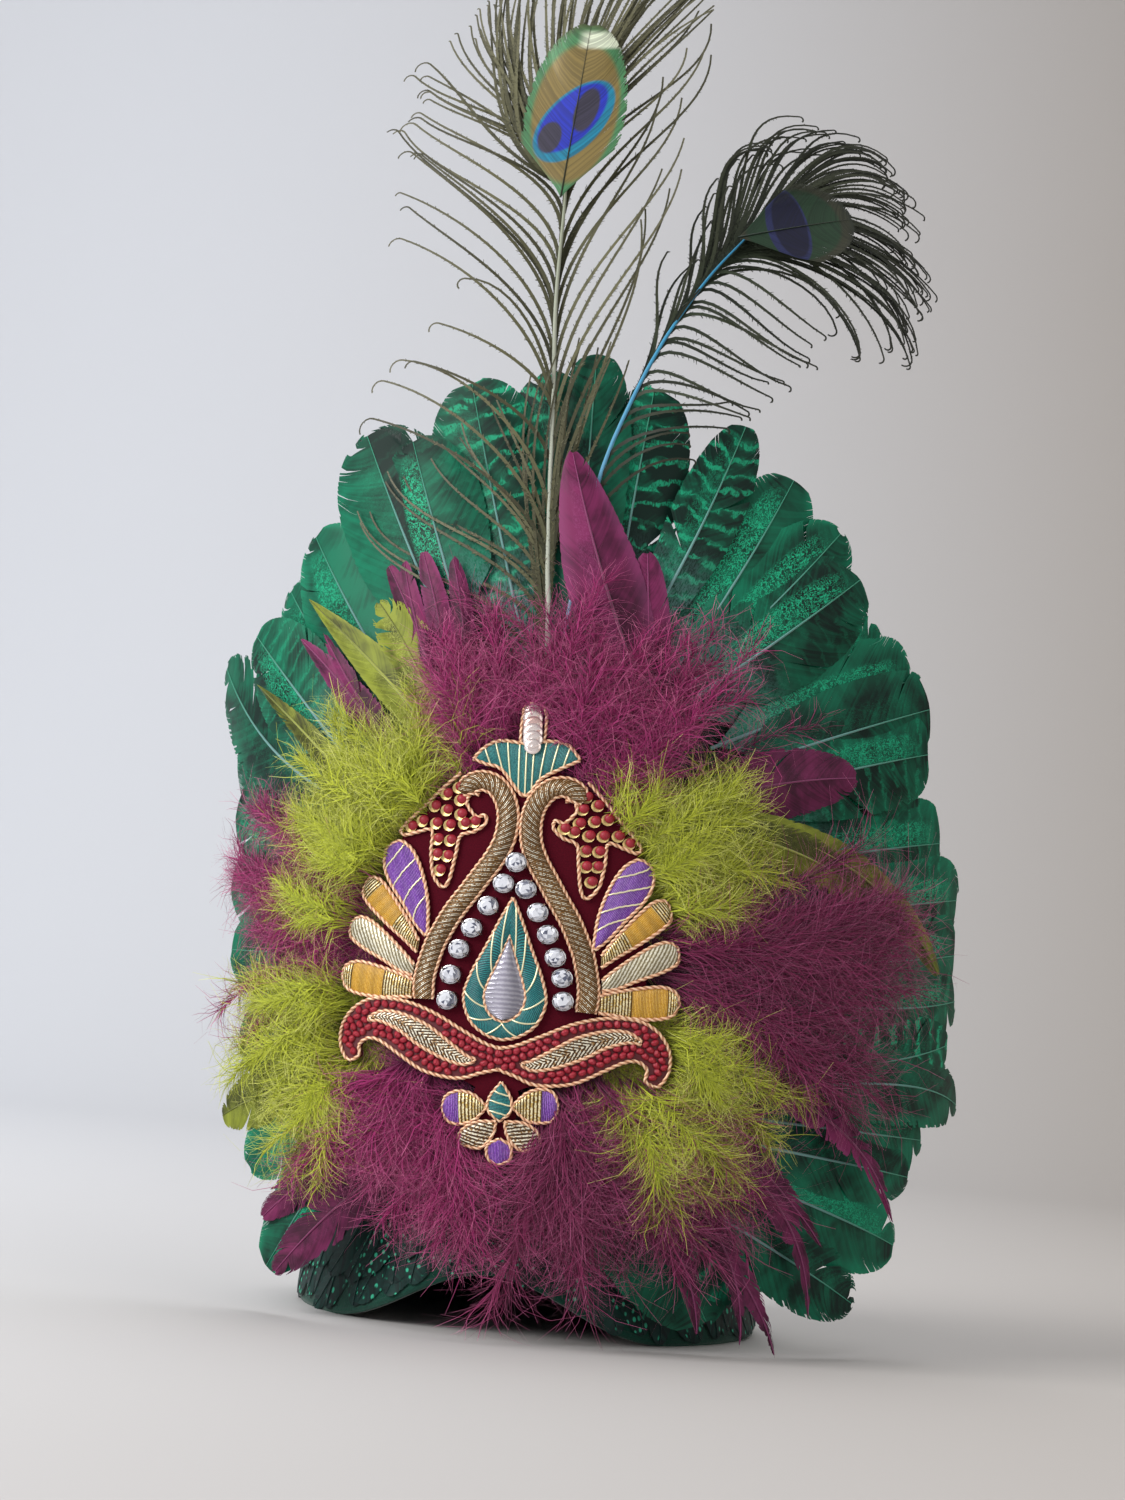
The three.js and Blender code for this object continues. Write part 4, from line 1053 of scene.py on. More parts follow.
@dataclass(frozen=True)
class Down:
    """The clumps of dyed down round the patch."""

    clumps: tuple[Clump, ...] = (
        Clump("magenta_plume_top_left", -25, -1, 0.57, 0.0035),
        Clump("magenta_plume_top_right", 1, 37, 0.62, 0.005, 34),
        Clump("lime_plume_upper_right", 36, 76, 0.44, 0.008, 34, 0.015),
        Clump("magenta_plume_right", 77, 108, 0.68, 0.006, 36, 0.028, 0.4, 7.0, True, 17.0),
        Clump("lime_plume_lower_right", 110, 148, 0.53, 0.008, 38),
        Clump("magenta_plume_brow_right", 136, 171, 0.6, 0.005, 42, 0.024, 0.35, 6.0, True, 19.0),
        Clump("magenta_plume_brow_left", 186, 220, 0.53, 0.005, 38, 0.02, 0.3, 6.0, False, 30.0),
        Clump("lime_plume_lower_left", 217, 253, 0.54, 0.008, 34),
        Clump("magenta_plume_left", 252, 294, 0.55, 0.005, 38),
        Clump("lime_tuft_left", 266, 278, 0.46, 0.009, 7, 0.012),
        Clump("lime_plume_upper_left", 292, 336, 0.49, 0.008, 34),
    )
    hairs: int = 230
    hair_steps: int = 4
    hair_half: float = 0.00013
    highest: float = 0.0235
    highest_under_patch: float = 0.0134
    lowest: float = 0.001
    patch_margin: float = 0.0006
    shortest: float = 0.022
    nearest: float = 0.012
    sway: float = 0.001
    scene_only: tuple[str, ...] = ("lime_tuft_left",)
    magenta: StrandFinish = StrandFinish("Magenta down", srgb(74, 18, 52), srgb(156, 44, 104),
                                         srgb(204, 116, 152), 0.6)
    # darker copy of the magenta down: deeper dye with painted shade for the clumps on the right
    deep_shaded: StrandFinish = StrandFinish("Deep shaded magenta down", srgb(50, 13, 36), srgb(130, 40, 84),
                                      srgb(184, 100, 140), 0.6)
    lime: StrandFinish = StrandFinish("Lime down", srgb(104, 112, 20), srgb(184, 192, 56),
                                      srgb(226, 226, 140), 0.5)

    def shaft(self, clump: Clump, rng: np.random.Generator) -> Course:
        """Course of the unseen shaft of one soft feather.

        Args:
            clump: Clump that the feather belongs to.
            rng: Source of its unevenness.

        Returns:
            Its course on the shield.
        """
        start = rng.uniform(clump.first + 3, clump.last - 3)
        middle = (clump.first + clump.last) / 2
        end = start + (start - middle) * 0.12 + rng.normal(0, clump.spread)
        reach = SHIELD.fan_reach
        inner = max(PATCH.reach(start) - rng.uniform(0.0, 0.018), self.nearest)
        outer = max(clump.reach * reach * rng.uniform(0.66, 1.0), inner + self.shortest)
        layer = rng.uniform(0, 1)
        off = PAD_FLOOR + 0.003 * layer
        return Course(SHIELD.fan(start, inner / reach), SHIELD.fan(end, outer / reach),
                      (off, off + 0.4 * clump.lift * layer), rng.normal(0, 0.05), rng.normal(0, 0.08),
                      clump.lift * (0.3 + layer))

    def spine(self, sketch: Sketch, clump: Clump, rng: np.random.Generator) -> None:
        """Grow one soft feather of a clump: hairs on both sides of an unseen shaft.

        Args:
            sketch: Piece that takes the hairs.
            clump: Clump that the feather belongs to.
            rng: Source of its unevenness.
        """
        course = self.shaft(clump, rng)
        each = (self.hairs, 1)
        side = np.where(np.arange(self.hairs) % 2 == 0, -1.0, 1.0)[:, None]
        root = rng.uniform(0, 0.97, self.hairs)[:, None]
        u = np.linspace(0, 1, self.hair_steps)[None, :]
        wisp = rng.uniform(0, 1, each) < clump.wisps * root
        length = clump.hair * (1 - 0.35 * root) * rng.uniform(0.65, 1.15, each) * np.where(wisp, 1.45, 1)
        angle = np.radians(rng.normal(clump.sweep, clump.sweep / 2, each) * (1 - 0.45 * root))
        turn = angle + rng.normal(-0.2, 0.7, each) * u
        across, height, off, side_x, side_y = course.at(root)
        run = length * u * np.cos(turn)
        sway = self.sway * np.sin(u * rng.uniform(3, 9, each) + rng.uniform(0, 6, each)) * u
        out = length * u * np.sin(turn) * side + sway
        across = across - run * side_y + out * side_x
        height = height + run * side_x + out * side_y
        rise = rng.normal(0.12, 0.42, each) * length * (u - 0.45 * u * u)
        off = np.clip(off + rise, PAD_FLOOR - 0.004, self.highest)
        height = np.maximum(height, self.lowest)
        covered = PATCH.covers(across, height, self.patch_margin)
        off = np.where(covered, np.minimum(off, self.highest_under_patch), off)
        half = self.hair_half * (1 - 0.8 * u) * rng.uniform(0.7, 1.4, each)
        twist = rng.uniform(0, np.pi, each)[..., None]
        edge = half[..., None] * np.array([-1.0, 1.0])
        lean_x = -(side_x * np.cos(turn) + side_y * np.sin(turn) * side)
        lean_y = -(side_y * np.cos(turn) - side_x * np.sin(turn) * side)
        wide = edge * np.cos(twist)
        points = SHIELD.place(across[..., None] + lean_x[..., None] * wide,
                              height[..., None] + lean_y[..., None] * wide,
                              off[..., None] + edge * np.sin(twist))
        # how high each point lies in its clump, which the shader turns into painted shade on the low ones
        depth = np.clip((off - PAD_FLOOR) / (clump.lift + 0.003), 0, 1)
        tone = rng.uniform(0, 1, each)
        sketch.grids(points, 0, place=vector3(u, depth, tone)[:, :, None, :])

    def build(self) -> None:
        """Build each clump as one piece."""
        magenta, deep_shaded, lime = self.magenta.material(), self.deep_shaded.material(), self.lime.material()
        for i, clump in enumerate(self.clumps):
            rng = np.random.default_rng(300 + i)
            sketch = Sketch(clump.node + "_down")
            for _ in range(clump.spines):
                self.spine(sketch, clump, rng)
            dyed = lime if clump.node.startswith("lime") else deep_shaded if clump.deep_shaded else magenta
            slot = "lime_fluff" if dyed is lime else "magenta_fluff"
            report(sketch.build([dyed]), slot, () if clump.node in self.scene_only else [clump.node])


@dataclass(frozen=True)
class DyedFeathers:
    """The single dyed feathers: quills and blades in magenta, vanes and hackles in lime."""

    magenta: FeatherSet = FeatherSet((
        Feather("magenta_quill_centre", 4.4, 25, 0.42, 0.9, 0.81, 0.8, 0.72, -0.02,
                M.PLAIN, splits=1, square=1.6),
        Feather("magenta_quill_centre", 4.0, 27, 0.4, 12.8, 0.665, 0.44, 0.7, 0, M.PLAIN, splits=1),
        Feather("magenta_blade_right", 3, 46, 0.34, 59.7, 0.635, 0.74, 0.7, -0.04, M.DEEP, 0, 5, 0.15),
        Feather("magenta_blades_lower", 4, 117, 0.42, 117.7, 0.82, 0.46, 0.85, -0.06,
                M.PLAIN, 0.12, 13, 0.55, 1.3),
        Feather("magenta_blades_lower", 3.2, 126, 0.42, 127.3, 0.72, 0.42, 0.85, 0.06,
                M.DEEP, 0.12, 13, 0.55, 1.3),
        Feather("magenta_blades_lower", 3.4, 131, 0.42, 133.3, 0.79, 0.4, 0.85, -0.05,
                M.DEEP, 0.16, 13, 0.55, 1.3),
        Feather("magenta_blades_lower", 3.1, 141, 0.42, 139.3, 0.8, 0.42, 0.85, 0.05,
                M.DEEP, 0.16, 13, 0.55, 1.3),
        Feather("magenta_blades_lower", 3.6, 145, 0.4, 143.5, 0.75, 0.38, 0.85, -0.07,
                M.DEEP, 0.14, 13, 0.55, 1.3),
        Feather("magenta_blades_lower", 3.5, 152, 0.4, 149, 0.7, 0.44, 0.85, -0.05,
                M.DEEP, 0.1, 13, 0.55, 1.3),
        Feather("magenta_small_left", 3.2, -22, 0.4, -24.4, 0.665, 0.25, 0.5, 0.03, M.DEEP, 0, 3, 0.1),
        Feather("magenta_small_left", 3.3, -21, 0.4, -21.8, 0.66, 0.22, 0.5, -0.03, M.PLAIN, 0, 3, 0.1),
        Feather("magenta_small_left", 3.4, -19, 0.4, -18.7, 0.665, 0.26, 0.5, 0.02, M.PLAIN, 0, 3, 0.1),
        Feather("magenta_small_left", 3.6, -15, 0.4, -14.3, 0.64, 0.22, 0.55, 0.02, M.DEEP, 0, 3, 0.1),
        Feather("magenta_small_left", 2.9, -38, 0.34, -42.8, 0.655, 0.4, 0.8, 0.04, M.PLAIN, 0, 4, 0.2, 1.4),
        Feather("magenta_small_left", 3.0, -36, 0.34, -38.6, 0.625, 0.34, 0.8, -0.02,
                M.PLAIN, 0, 6, 0.4, 1.4),
        Feather("magenta_small_brow", 2.5, -160, 0.38, -148, 0.69, 0.6, 0.8, 0.03, M.DEEP, 0, 6, 0.3),
        Feather("magenta_small_brow", 2.6, -152, 0.38, -141, 0.64, 0.5, 0.8, 0.03, M.DEEP, 0, 6, 0.3),
    ), 200, ("magenta_small_left", "magenta_small_brow"))
    lime: FeatherSet = FeatherSet((
        Feather("lime_vane_left", 3.2, -24, 0.33, -38.4, 0.7, 0.62, 0.95, 0.03, M.PLAIN, 0, 2, 0.06, 1.15),
        Feather("lime_vane_left", 3.4, -24, 0.33, -27.5, 0.61, 0.62, 0.6, 0.05, M.BRIGHT, 0, 12, 0.5),
        Feather("lime_vane_left", 3.0, -52, 0.36, -53.6, 0.68, 0.42, 0.95, 0.03, M.DEEP, 0, 3, 0.2, 1.1),
        Feather("lime_hackles_right", 4.6, 48, 0.34, 89.8, 0.77, 0.44, 0.8, -0.1, M.DEEP, 0, 2, 0.15),
        Feather("lime_hackles_right", 4.9, 52, 0.32, 80, 0.6, 0.5, 0.8, -0.09, M.DEEP, 0, 4, 0.3),
        Feather("lime_small_left", 2.5, -131, 0.4, -122.6, 0.63, 0.66, 0.6, 0.04, M.DEEP, 0, 5, 0.2),
    ), 200, ("lime_small_left",))
    magenta_vane: VaneFinish = VaneFinish("Magenta vane", srgb(62, 14, 42), srgb(126, 38, 88),
                                          srgb(160, 78, 130), srgb(84, 34, 56))
    magenta_shaft: StrandFinish = StrandFinish("Magenta shaft", srgb(120, 60, 90), srgb(130, 50, 96),
                                               srgb(150, 60, 116))
    lime_vane: VaneFinish = VaneFinish("Lime vane", srgb(58, 62, 14), srgb(142, 152, 48),
                                       srgb(178, 186, 84), srgb(150, 150, 60))
    lime_shaft: StrandFinish = StrandFinish("Lime shaft", srgb(170, 175, 90), srgb(130, 140, 40),
                                            srgb(60, 60, 20))

    def build(self) -> None:
        """Build every node's feathers as one piece."""
        self.magenta.build([self.magenta_vane.material(), self.magenta_shaft.material()], "magenta_feather")
        self.lime.build([self.lime_vane.material(), self.lime_shaft.material()], "lime_feather")


@dataclass(frozen=True)
class Disc(Vane):
    """Cut of a peacock feather's eye: an oval of barbs that lie edge to edge."""

    barbs: int = 120
    splits: int = 0
    drift: float = 0.0
    fray: float = 0.12
    camber: float = -0.15
    sweep: float = 1.3
    shaft: float = 0.0003
    bare: float = 0.0

    def share(self, t: Array) -> Array:
        """Half width along the eye as a share of its greatest."""
        return np.sqrt(np.maximum(0.004, 1 - (2 * t ** 0.85 - 1) ** 2))


@dataclass(frozen=True)
class EyeFinish:
    """Eye of a peacock feather: its colours from the heart outwards, its cream mark and its heart's tilt."""

    name: str
    heart: Colour
    ring: Colour
    bronze: Colour
    rim: Colour
    fringe: Colour
    cream_share: float
    tilt: float
    lobes: bool

    def material(self) -> Material:
        """Build the material."""
        material, graph, shader = start_material(self.name, Roughness=0.38, Metallic=0.25, Sheen_Weight=0.15)
        paint = graph.use(eye_group(self.name, self.tilt, self.lobes), Heart=self.heart, Ring=self.ring,
                          Bronze=self.bronze, Rim=self.rim, Fringe=self.fringe, Cream_Share=self.cream_share)
        graph.feed(shader.inputs["Base Color"], paint.outputs["Color"])
        add_bump(graph, shader, paint.outputs["Height"], 0.3, 0.0002)
        return material


@dataclass(frozen=True)
class Spray:
    """A run of loose barbs along a peacock shaft.

    Roots go from the first to the last share of the shaft and tips through the listed places. Each
    barb leaves along the shaft for a share of its length and arrives at its tip in a direction.
    """

    count: int
    first: float
    last: float
    tips: tuple[Triple, ...]
    lead: float
    arrive: Pair
    hook: float = 0.006


@dataclass(frozen=True)
class Plume:
    """One peacock feather: the places of its shaft, its eye from foot to top, its barbs and finishes."""

    node: str
    shaft: tuple[Triple, ...]
    eye: tuple[Triple, Triple]
    eye_half: float
    sprays: tuple[Spray, ...]
    eye_finish: EyeFinish
    barb_finish: StrandFinish
    shaft_finish: StrandFinish
    root_radius: float = 0.0011


def smooth_line(places: Sequence[Sequence[float]], count: int) -> Array:
    """Points of a smooth line through places, evenly spread over the places.

    Args:
        places: Places that the line passes.
        count: Number of points.

    Returns:
        Array of shape (count, size of a place).
    """
    knots = np.asarray(places, float)
    knots = np.vstack([2 * knots[0] - knots[1], knots, 2 * knots[-1] - knots[-2]])
    s = np.linspace(0, len(places) - 1 - 1e-9, count)
    i = s.astype(int)
    f = (s - i)[:, None]
    a, b, c, d = knots[i], knots[i + 1], knots[i + 2], knots[i + 3]
    return 0.5 * (2 * b + (c - a) * f + (2 * a - 5 * b + 4 * c - d) * f ** 2
                  + (3 * b - a - 3 * c + d) * f ** 3)


def eye_group(name: str, tilt: float, lobes: bool) -> Tree:
    """Group that paints a peacock's eye from the place on its oval.

    Args:
        name: Name of the group.
        tilt: Turn of its heart in degrees.
        lobes: Add the two dark lobes of the heart.

    Returns:
        The group, with outputs Color and Height.
    """
    graph, given, out = new_group(name, [
        ("Heart", "Color", srgb(24, 40, 160)), ("Ring", "Color", srgb(8, 118, 148)),
        ("Bronze", "Color", srgb(122, 104, 54)), ("Rim", "Color", srgb(66, 122, 78)),
        ("Fringe", "Color", srgb(70, 80, 45)), ("Cream Share", "Float", 0.9),
    ], [("Color", "Color"), ("Height", "Float")])
    along, _, tone = graph.split(graph.value("place"))
    width, _, _ = graph.split(graph.value("extra"))

    def oval(centre_x: float, centre_y: float, half_x: float, half_y: float, turn: float) -> Socket:
        """Distance from an oval's centre, 1 on its outline, in shares of the eye."""
        x = graph.minus(width, centre_x)
        y = graph.times(graph.minus(along, centre_y), 3.1)
        c, s = math.cos(math.radians(turn)), math.sin(math.radians(turn))
        u = graph.minus(graph.times(x, c), graph.times(y, s))
        v = graph.plus(graph.times(x, s), graph.times(y, c))
        u, v = graph.math("DIVIDE", u, half_x), graph.math("DIVIDE", v, half_y)
        return graph.math("SQRT", graph.plus(graph.times(u, u), graph.times(v, v)))

    bronze = oval(0.0, 0.48, 0.84, 1.24, 0)
    ring = oval(0.0, 0.43, 0.9, 0.54, tilt)
    heart = oval(-0.04, 0.45, 0.8, 0.43, tilt)
    colour = graph.mix(graph.ramp(bronze, 1.1, 1.32, 1.0, 0.0), given["Fringe"], given["Rim"])
    colour = graph.mix(graph.ramp(bronze, 0.94, 1.06, 1.0, 0.0), colour, given["Bronze"])
    cream = graph.times(graph.ramp(along, 0.84, 0.87), graph.ramp(along, 0.93, 0.97, 1.0, 0.0))
    cream = graph.times(cream, graph.ramp(width, -0.25, 0.0))
    colour = graph.mix(graph.times(cream, given["Cream Share"]), colour, srgb(214, 220, 196))
    colour = graph.mix(graph.ramp(ring, 0.96, 1.03, 1.0, 0.0), colour, given["Ring"])
    colour = graph.mix(graph.ramp(heart, 0.92, 1.04, 1.0, 0.0), colour, given["Heart"])
    for across, up, half_x, half_y in ((0.2, 0.5, 0.24, 0.42), (-0.42, 0.33, 0.23, 0.3)) if lobes else ():
        lobe = oval(across, up, half_x, half_y, 14)
        colour = graph.mix(graph.ramp(lobe, 0.85, 1.05, 1.0, 0.0), colour, srgb(50, 46, 64))
    lines = graph.add("HueSaturation", {"Value": graph.ramp(tone, 0.0, 1.0, 0.72, 1.2), "Color": colour})
    graph.feed(out.inputs["Color"], lines.outputs[0])
    graph.feed(out.inputs["Height"], tone)
    return graph.tree


@dataclass(frozen=True)
class Peacock:
    """The two peacock feathers that rise behind the quill."""

    core_half: float = 0.00068
    barbule_gap: float = 0.00056
    barbule: float = 0.0017
    barbule_half: float = 0.00016
    barb_step: float = 0.0035
    shaft_points: int = 90
    eye_rise: float = 0.0012
    plumes: tuple[Plume, ...] = (
        Plume(
            "peacock_tall",
            (
                (0.004, 0.197, 0.006), (0.001, 0.235, 0.006), (-0.0015, 0.256, 0.006),
                (-0.0067, 0.312, 0.006), (-0.0093, 0.345, 0.012), (-0.0092, 0.377, 0.022),
                (-0.0095, 0.3816, 0.0245)
            ),
            ((-0.0088, 0.3725, 0.029), (-0.007, 0.4385, 0.0335)),
            0.0146,
            (
                Spray(
                    6,
                    0.3,
                    0.5,
                    (
                        (-0.0607, 0.2986, 0.018), (-0.0538, 0.316, 0.02), (-0.0454, 0.3264, 0.02),
                        (-0.0371, 0.3424, 0.022)
                    ),
                    0.3,
                    (-0.9, 0.1),
                    0.012
                ),
                Spray(
                    17,
                    0.5,
                    0.95,
                    (
                        (-0.0607, 0.365, 0.025), (-0.0614, 0.391, 0.027), (-0.0602, 0.399, 0.027),
                        (-0.0575, 0.411, 0.028), (-0.0574, 0.421, 0.028), (-0.0591, 0.4314, 0.028)
                    ),
                    0.36,
                    (-0.75, 0.6),
                    0.009
                ),
                Spray(
                    14,
                    0.84,
                    0.97,
                    (
                        (-0.052, 0.435, 0.026), (-0.046, 0.449, 0.026), (-0.0432, 0.456, 0.026),
                        (-0.038, 0.468, 0.026)
                    ),
                    0.3,
                    (-0.25, 1.0),
                    0.002
                ),
                Spray(
                    26,
                    0.93,
                    1.0,
                    (
                        (-0.038, 0.462, 0.025), (-0.033, 0.47, 0.025), (-0.024, 0.476, 0.026),
                        (-0.012, 0.479, 0.026)
                    ),
                    0.2,
                    (0.1, 1.0),
                    0.0
                ),
                Spray(
                    20,
                    0.99,
                    1.0,
                    ((-0.008, 0.478, 0.026), (0.004, 0.479, 0.026), (0.014, 0.476, 0.026)),
                    0.3,
                    (0.3, 1.0),
                    0.0
                ),
                Spray(
                    20,
                    0.9,
                    1.0,
                    ((0.014, 0.476, 0.026), (0.0227, 0.468, 0.026), (0.026, 0.458, 0.026)),
                    0.2,
                    (0.6, 0.9),
                    0.0
                ),
                Spray(
                    14,
                    0.32,
                    0.86,
                    (
                        (0.016, 0.372, 0.02), (0.0205, 0.395, 0.022), (0.0208, 0.417, 0.024),
                        (0.0216, 0.435, 0.026), (0.024, 0.45, 0.026)
                    ),
                    0.42,
                    (0.0, 1.0),
                    0.0
                ),
                Spray(
                    12,
                    0.04,
                    0.3,
                    (
                        (-0.07, 0.262, 0.0078), (-0.062, 0.277, 0.0078), (-0.05, 0.283, 0.0078),
                        (-0.036, 0.3, 0.008), (-0.022, 0.31, 0.008)
                    ),
                    0.4,
                    (-0.5, 0.9),
                    0.0
                ),
                Spray(
                    12,
                    0.02,
                    0.25,
                    (
                        (-0.012, 0.315, 0.0075), (-0.004, 0.33, 0.0075), (0.006, 0.335, 0.0075),
                        (0.012, 0.33, 0.0075)
                    ),
                    0.3,
                    (0.1, 1.0),
                    0.0
                )
            ),
            EyeFinish(
                "peacock_tall eye", srgb(24, 42, 170), srgb(8, 118, 148), srgb(122, 104, 54),
                srgb(66, 122, 78), srgb(70, 80, 45), 0.9, -46.0, True
            ),
            StrandFinish(
                "Peacock barb", srgb(38, 42, 26), srgb(88, 86, 62), srgb(84, 82, 66), 1.3, 0.45, 0.1
            ),
            StrandFinish("Pale shaft", srgb(186, 190, 178), srgb(176, 180, 164), srgb(120, 130, 100))
        ),
        Plume(
            "peacock_curled",
            (
                (0.0052, 0.2, 0.006), (0.008, 0.25, 0.006), (0.0122, 0.286, 0.008),
                (0.0192, 0.3115, 0.012), (0.0258, 0.3296, 0.016), (0.0318, 0.343, 0.018),
                (0.038, 0.3546, 0.022), (0.0452, 0.3657, 0.026)
            ),
            ((0.0425, 0.363, 0.0295), (0.0745, 0.376, 0.0325)),
            0.0155,
            (
                Spray(
                    19,
                    0.2,
                    0.82,
                    (
                        (0.0396, 0.2874, 0.02), (0.046, 0.2998, 0.021), (0.0485, 0.3058, 0.022),
                        (0.057, 0.3127, 0.023), (0.0589, 0.3187, 0.024), (0.0686, 0.3245, 0.024),
                        (0.0701, 0.3289, 0.025), (0.0736, 0.3355, 0.025)
                    ),
                    0.3,
                    (0.96, -0.12),
                    0.003
                ),
                Spray(
                    9,
                    0.78,
                    0.97,
                    (
                        (0.076, 0.341, 0.026), (0.0811, 0.3289, 0.027), (0.0911, 0.3377, 0.028),
                        (0.1026, 0.3362, 0.028)
                    ),
                    0.42,
                    (0.3, -1.0),
                    0.007
                ),
                Spray(
                    12,
                    0.4,
                    0.8,
                    (
                        (0.028, 0.352, 0.018), (0.0324, 0.3645, 0.02), (0.0357, 0.385, 0.022),
                        (0.043, 0.398, 0.024)
                    ),
                    0.5,
                    (0.45, 0.9),
                    0.002
                ),
                Spray(
                    26,
                    0.66,
                    0.96,
                    (
                        (0.047, 0.401, 0.025), (0.058, 0.407, 0.026), (0.0685, 0.4085, 0.027),
                        (0.08, 0.404, 0.027)
                    ),
                    0.55,
                    (1.0, 0.1),
                    0.004
                ),
                Spray(
                    34,
                    0.85,
                    1.0,
                    (
                        (0.082, 0.405, 0.028), (0.0885, 0.4, 0.028), (0.0935, 0.391, 0.028),
                        (0.0965, 0.379, 0.028)
                    ),
                    0.5,
                    (0.95, -0.5),
                    0.006
                ),
                Spray(
                    26,
                    0.95,
                    1.0,
                    (
                        (0.0965, 0.379, 0.028), (0.1085, 0.3536, 0.028), (0.104, 0.36, 0.028),
                        (0.099, 0.366, 0.028), (0.092, 0.37, 0.028)
                    ),
                    0.35,
                    (0.7, -0.8),
                    0.005
                ),
                Spray(
                    22,
                    0.86,
                    1.0,
                    (
                        (0.1013, 0.334, 0.028), (0.1, 0.342, 0.028), (0.0965, 0.35, 0.028),
                        (0.094, 0.357, 0.028)
                    ),
                    0.3,
                    (0.35, -1.0),
                    0.003
                )
            ),
            EyeFinish(
                "peacock_curled eye", srgb(12, 14, 46), srgb(34, 40, 84), srgb(28, 56, 34),
                srgb(50, 52, 36), srgb(32, 38, 28), 0.0, 4.0, False
            ),
            StrandFinish(
                "Dark peacock barb", srgb(20, 38, 26), srgb(48, 52, 38), srgb(38, 38, 30), 1.3, 0.45,
                0.1
            ),
            StrandFinish("Blue shaft", srgb(150, 180, 200), srgb(60, 150, 190), srgb(30, 110, 150)),
            0.0009
        )
    )

    def spray(self, sketch: Sketch, shaft: Array, spray: Spray, rng: np.random.Generator) -> None:
        """Grow one run of loose barbs with their barbules.

        Args:
            sketch: Piece that takes the barbs.
            shaft: Points along the shaft: across, height, off.
            spray: The run.
            rng: Source of its unevenness.
        """
        tips = np.asarray(spray.tips)
        share = np.linspace(0, 1, spray.count)
        where = spray.first + (spray.last - spray.first) * share + rng.normal(0, 0.01, spray.count)
        where = np.clip(where, 0, 1)
        spots = where * (len(shaft) - 1)
        below = np.minimum(spots.astype(int), len(shaft) - 2)
        root = shaft[below] + (shaft[below + 1] - shaft[below]) * (spots - below)[:, None]
        ahead = (shaft[below + 1] - shaft[below]) * np.array([1.0, 1.0, 0.15])
        ahead /= np.linalg.norm(ahead, axis=1, keepdims=True)
        keys = np.linspace(0, 1, len(tips))
        tip = np.stack([np.interp(share, keys, tips[:, k]) for k in range(3)], 1)
        tip += rng.normal(0, 1, tip.shape) * np.array([0.0028, 0.003, 0.0014])
        size = np.linalg.norm(tip - root, axis=1, keepdims=True)
        arrive = np.array([*spray.arrive, 0.0]) + rng.normal(0, 0.12, tip.shape) * np.array([1, 1, 0.3])
        arrive /= np.linalg.norm(arrive, axis=1, keepdims=True)
        second = root + ahead * size * spray.lead
        third = tip - arrive * size * 0.34
        for i in range(spray.count):
            steps = max(10, int(size[i, 0] / self.barb_step))
            t = np.linspace(0, 1, steps)[:, None]
            line = ((1 - t) ** 3 * root[i] + 3 * (1 - t) ** 2 * t * second[i]
                    + 3 * (1 - t) * t * t * third[i] + t ** 3 * tip[i])
            if spray.hook:
                turn = np.linspace(0, 1.9 + rng.uniform(-0.3, 0.6), 7)[1:, None]
                radius = spray.hook * rng.uniform(0.3, 0.8) * 0.5
                away = np.sign(arrive[i, 0]) or 1.0
                aside = np.array([arrive[i, 1] * away, -arrive[i, 0] * away, 0.0])
                curl = arrive[i] * np.sin(turn) + aside * (1 - np.cos(turn))
                line = np.vstack([line, tip[i] + radius * curl])
            self.barb(sketch, line, rng)

    def barb(self, sketch: Sketch, line: Array, rng: np.random.Generator) -> None:
        """Add one barb: a thin core and short barbules on both sides.

        Args:
            sketch: Piece that takes the barb.
            line: Its points: across, height, off.
            rng: Source of its unevenness.
        """
        step = np.linalg.norm(np.diff(line, axis=0), axis=1)
        run = np.concatenate([[0], np.cumsum(step)])
        share = run / run[-1]
        ahead = np.gradient(line[:, :2], axis=0)
        ahead /= np.linalg.norm(ahead, axis=1, keepdims=True) + 1e-9
        edge = (self.core_half * (1 - 0.6 * share))[:, None] * np.array([-1.0, 1.0])[None, :]
        tone = rng.uniform(0.1, 0.9)
        points = SHIELD.place(line[:, :1] + ahead[:, 1:] * edge, line[:, 1:2] - ahead[:, :1] * edge,
                              line[:, 2:])
        sketch.sheet(points, place=vector3(share[:, None], np.array(0.6), np.array(tone)))
        many = int(run[-1] / self.barbule_gap)
        spots = rng.uniform(0.02, 1, many) * run[-1]
        side = rng.choice([-1.0, 1.0], many)
        x, y, z = (np.interp(spots, run, line[:, k]) for k in range(3))
        ax, ay = np.interp(spots, run, ahead[:, 0]), np.interp(spots, run, ahead[:, 1])
        taper = 1 - 0.75 * (spots / run[-1]) ** 2
        long = self.barbule * rng.uniform(0.5, 1.1, many) * taper
        turn = np.radians(rng.uniform(22, 56, many))
        dx = ax * np.cos(turn) + ay * np.sin(turn) * side
        dy = ay * np.cos(turn) - ax * np.sin(turn) * side
        rise = rng.normal(0, 0.25, many) * long
        u = np.array([0.0, 1.0])[None, :, None]
        width = self.barbule_half * (1 - 0.6 * u) * np.array([-1.0, 1.0])[None, None, :]
        col = (slice(None), None, None)
        across = x[col] + (dx * long)[col] * u + dy[col] * width
        height = y[col] + (dy * long)[col] * u - dx[col] * width
        off = z[col] + rise[col] * u
        tones = rng.uniform(0, 1, many)[col]
        sketch.grids(SHIELD.place(across, height, off), 0,
                     place=vector3(np.repeat(spots[:, None, None] / run[-1], 2, 1), np.array(0.6), tones))

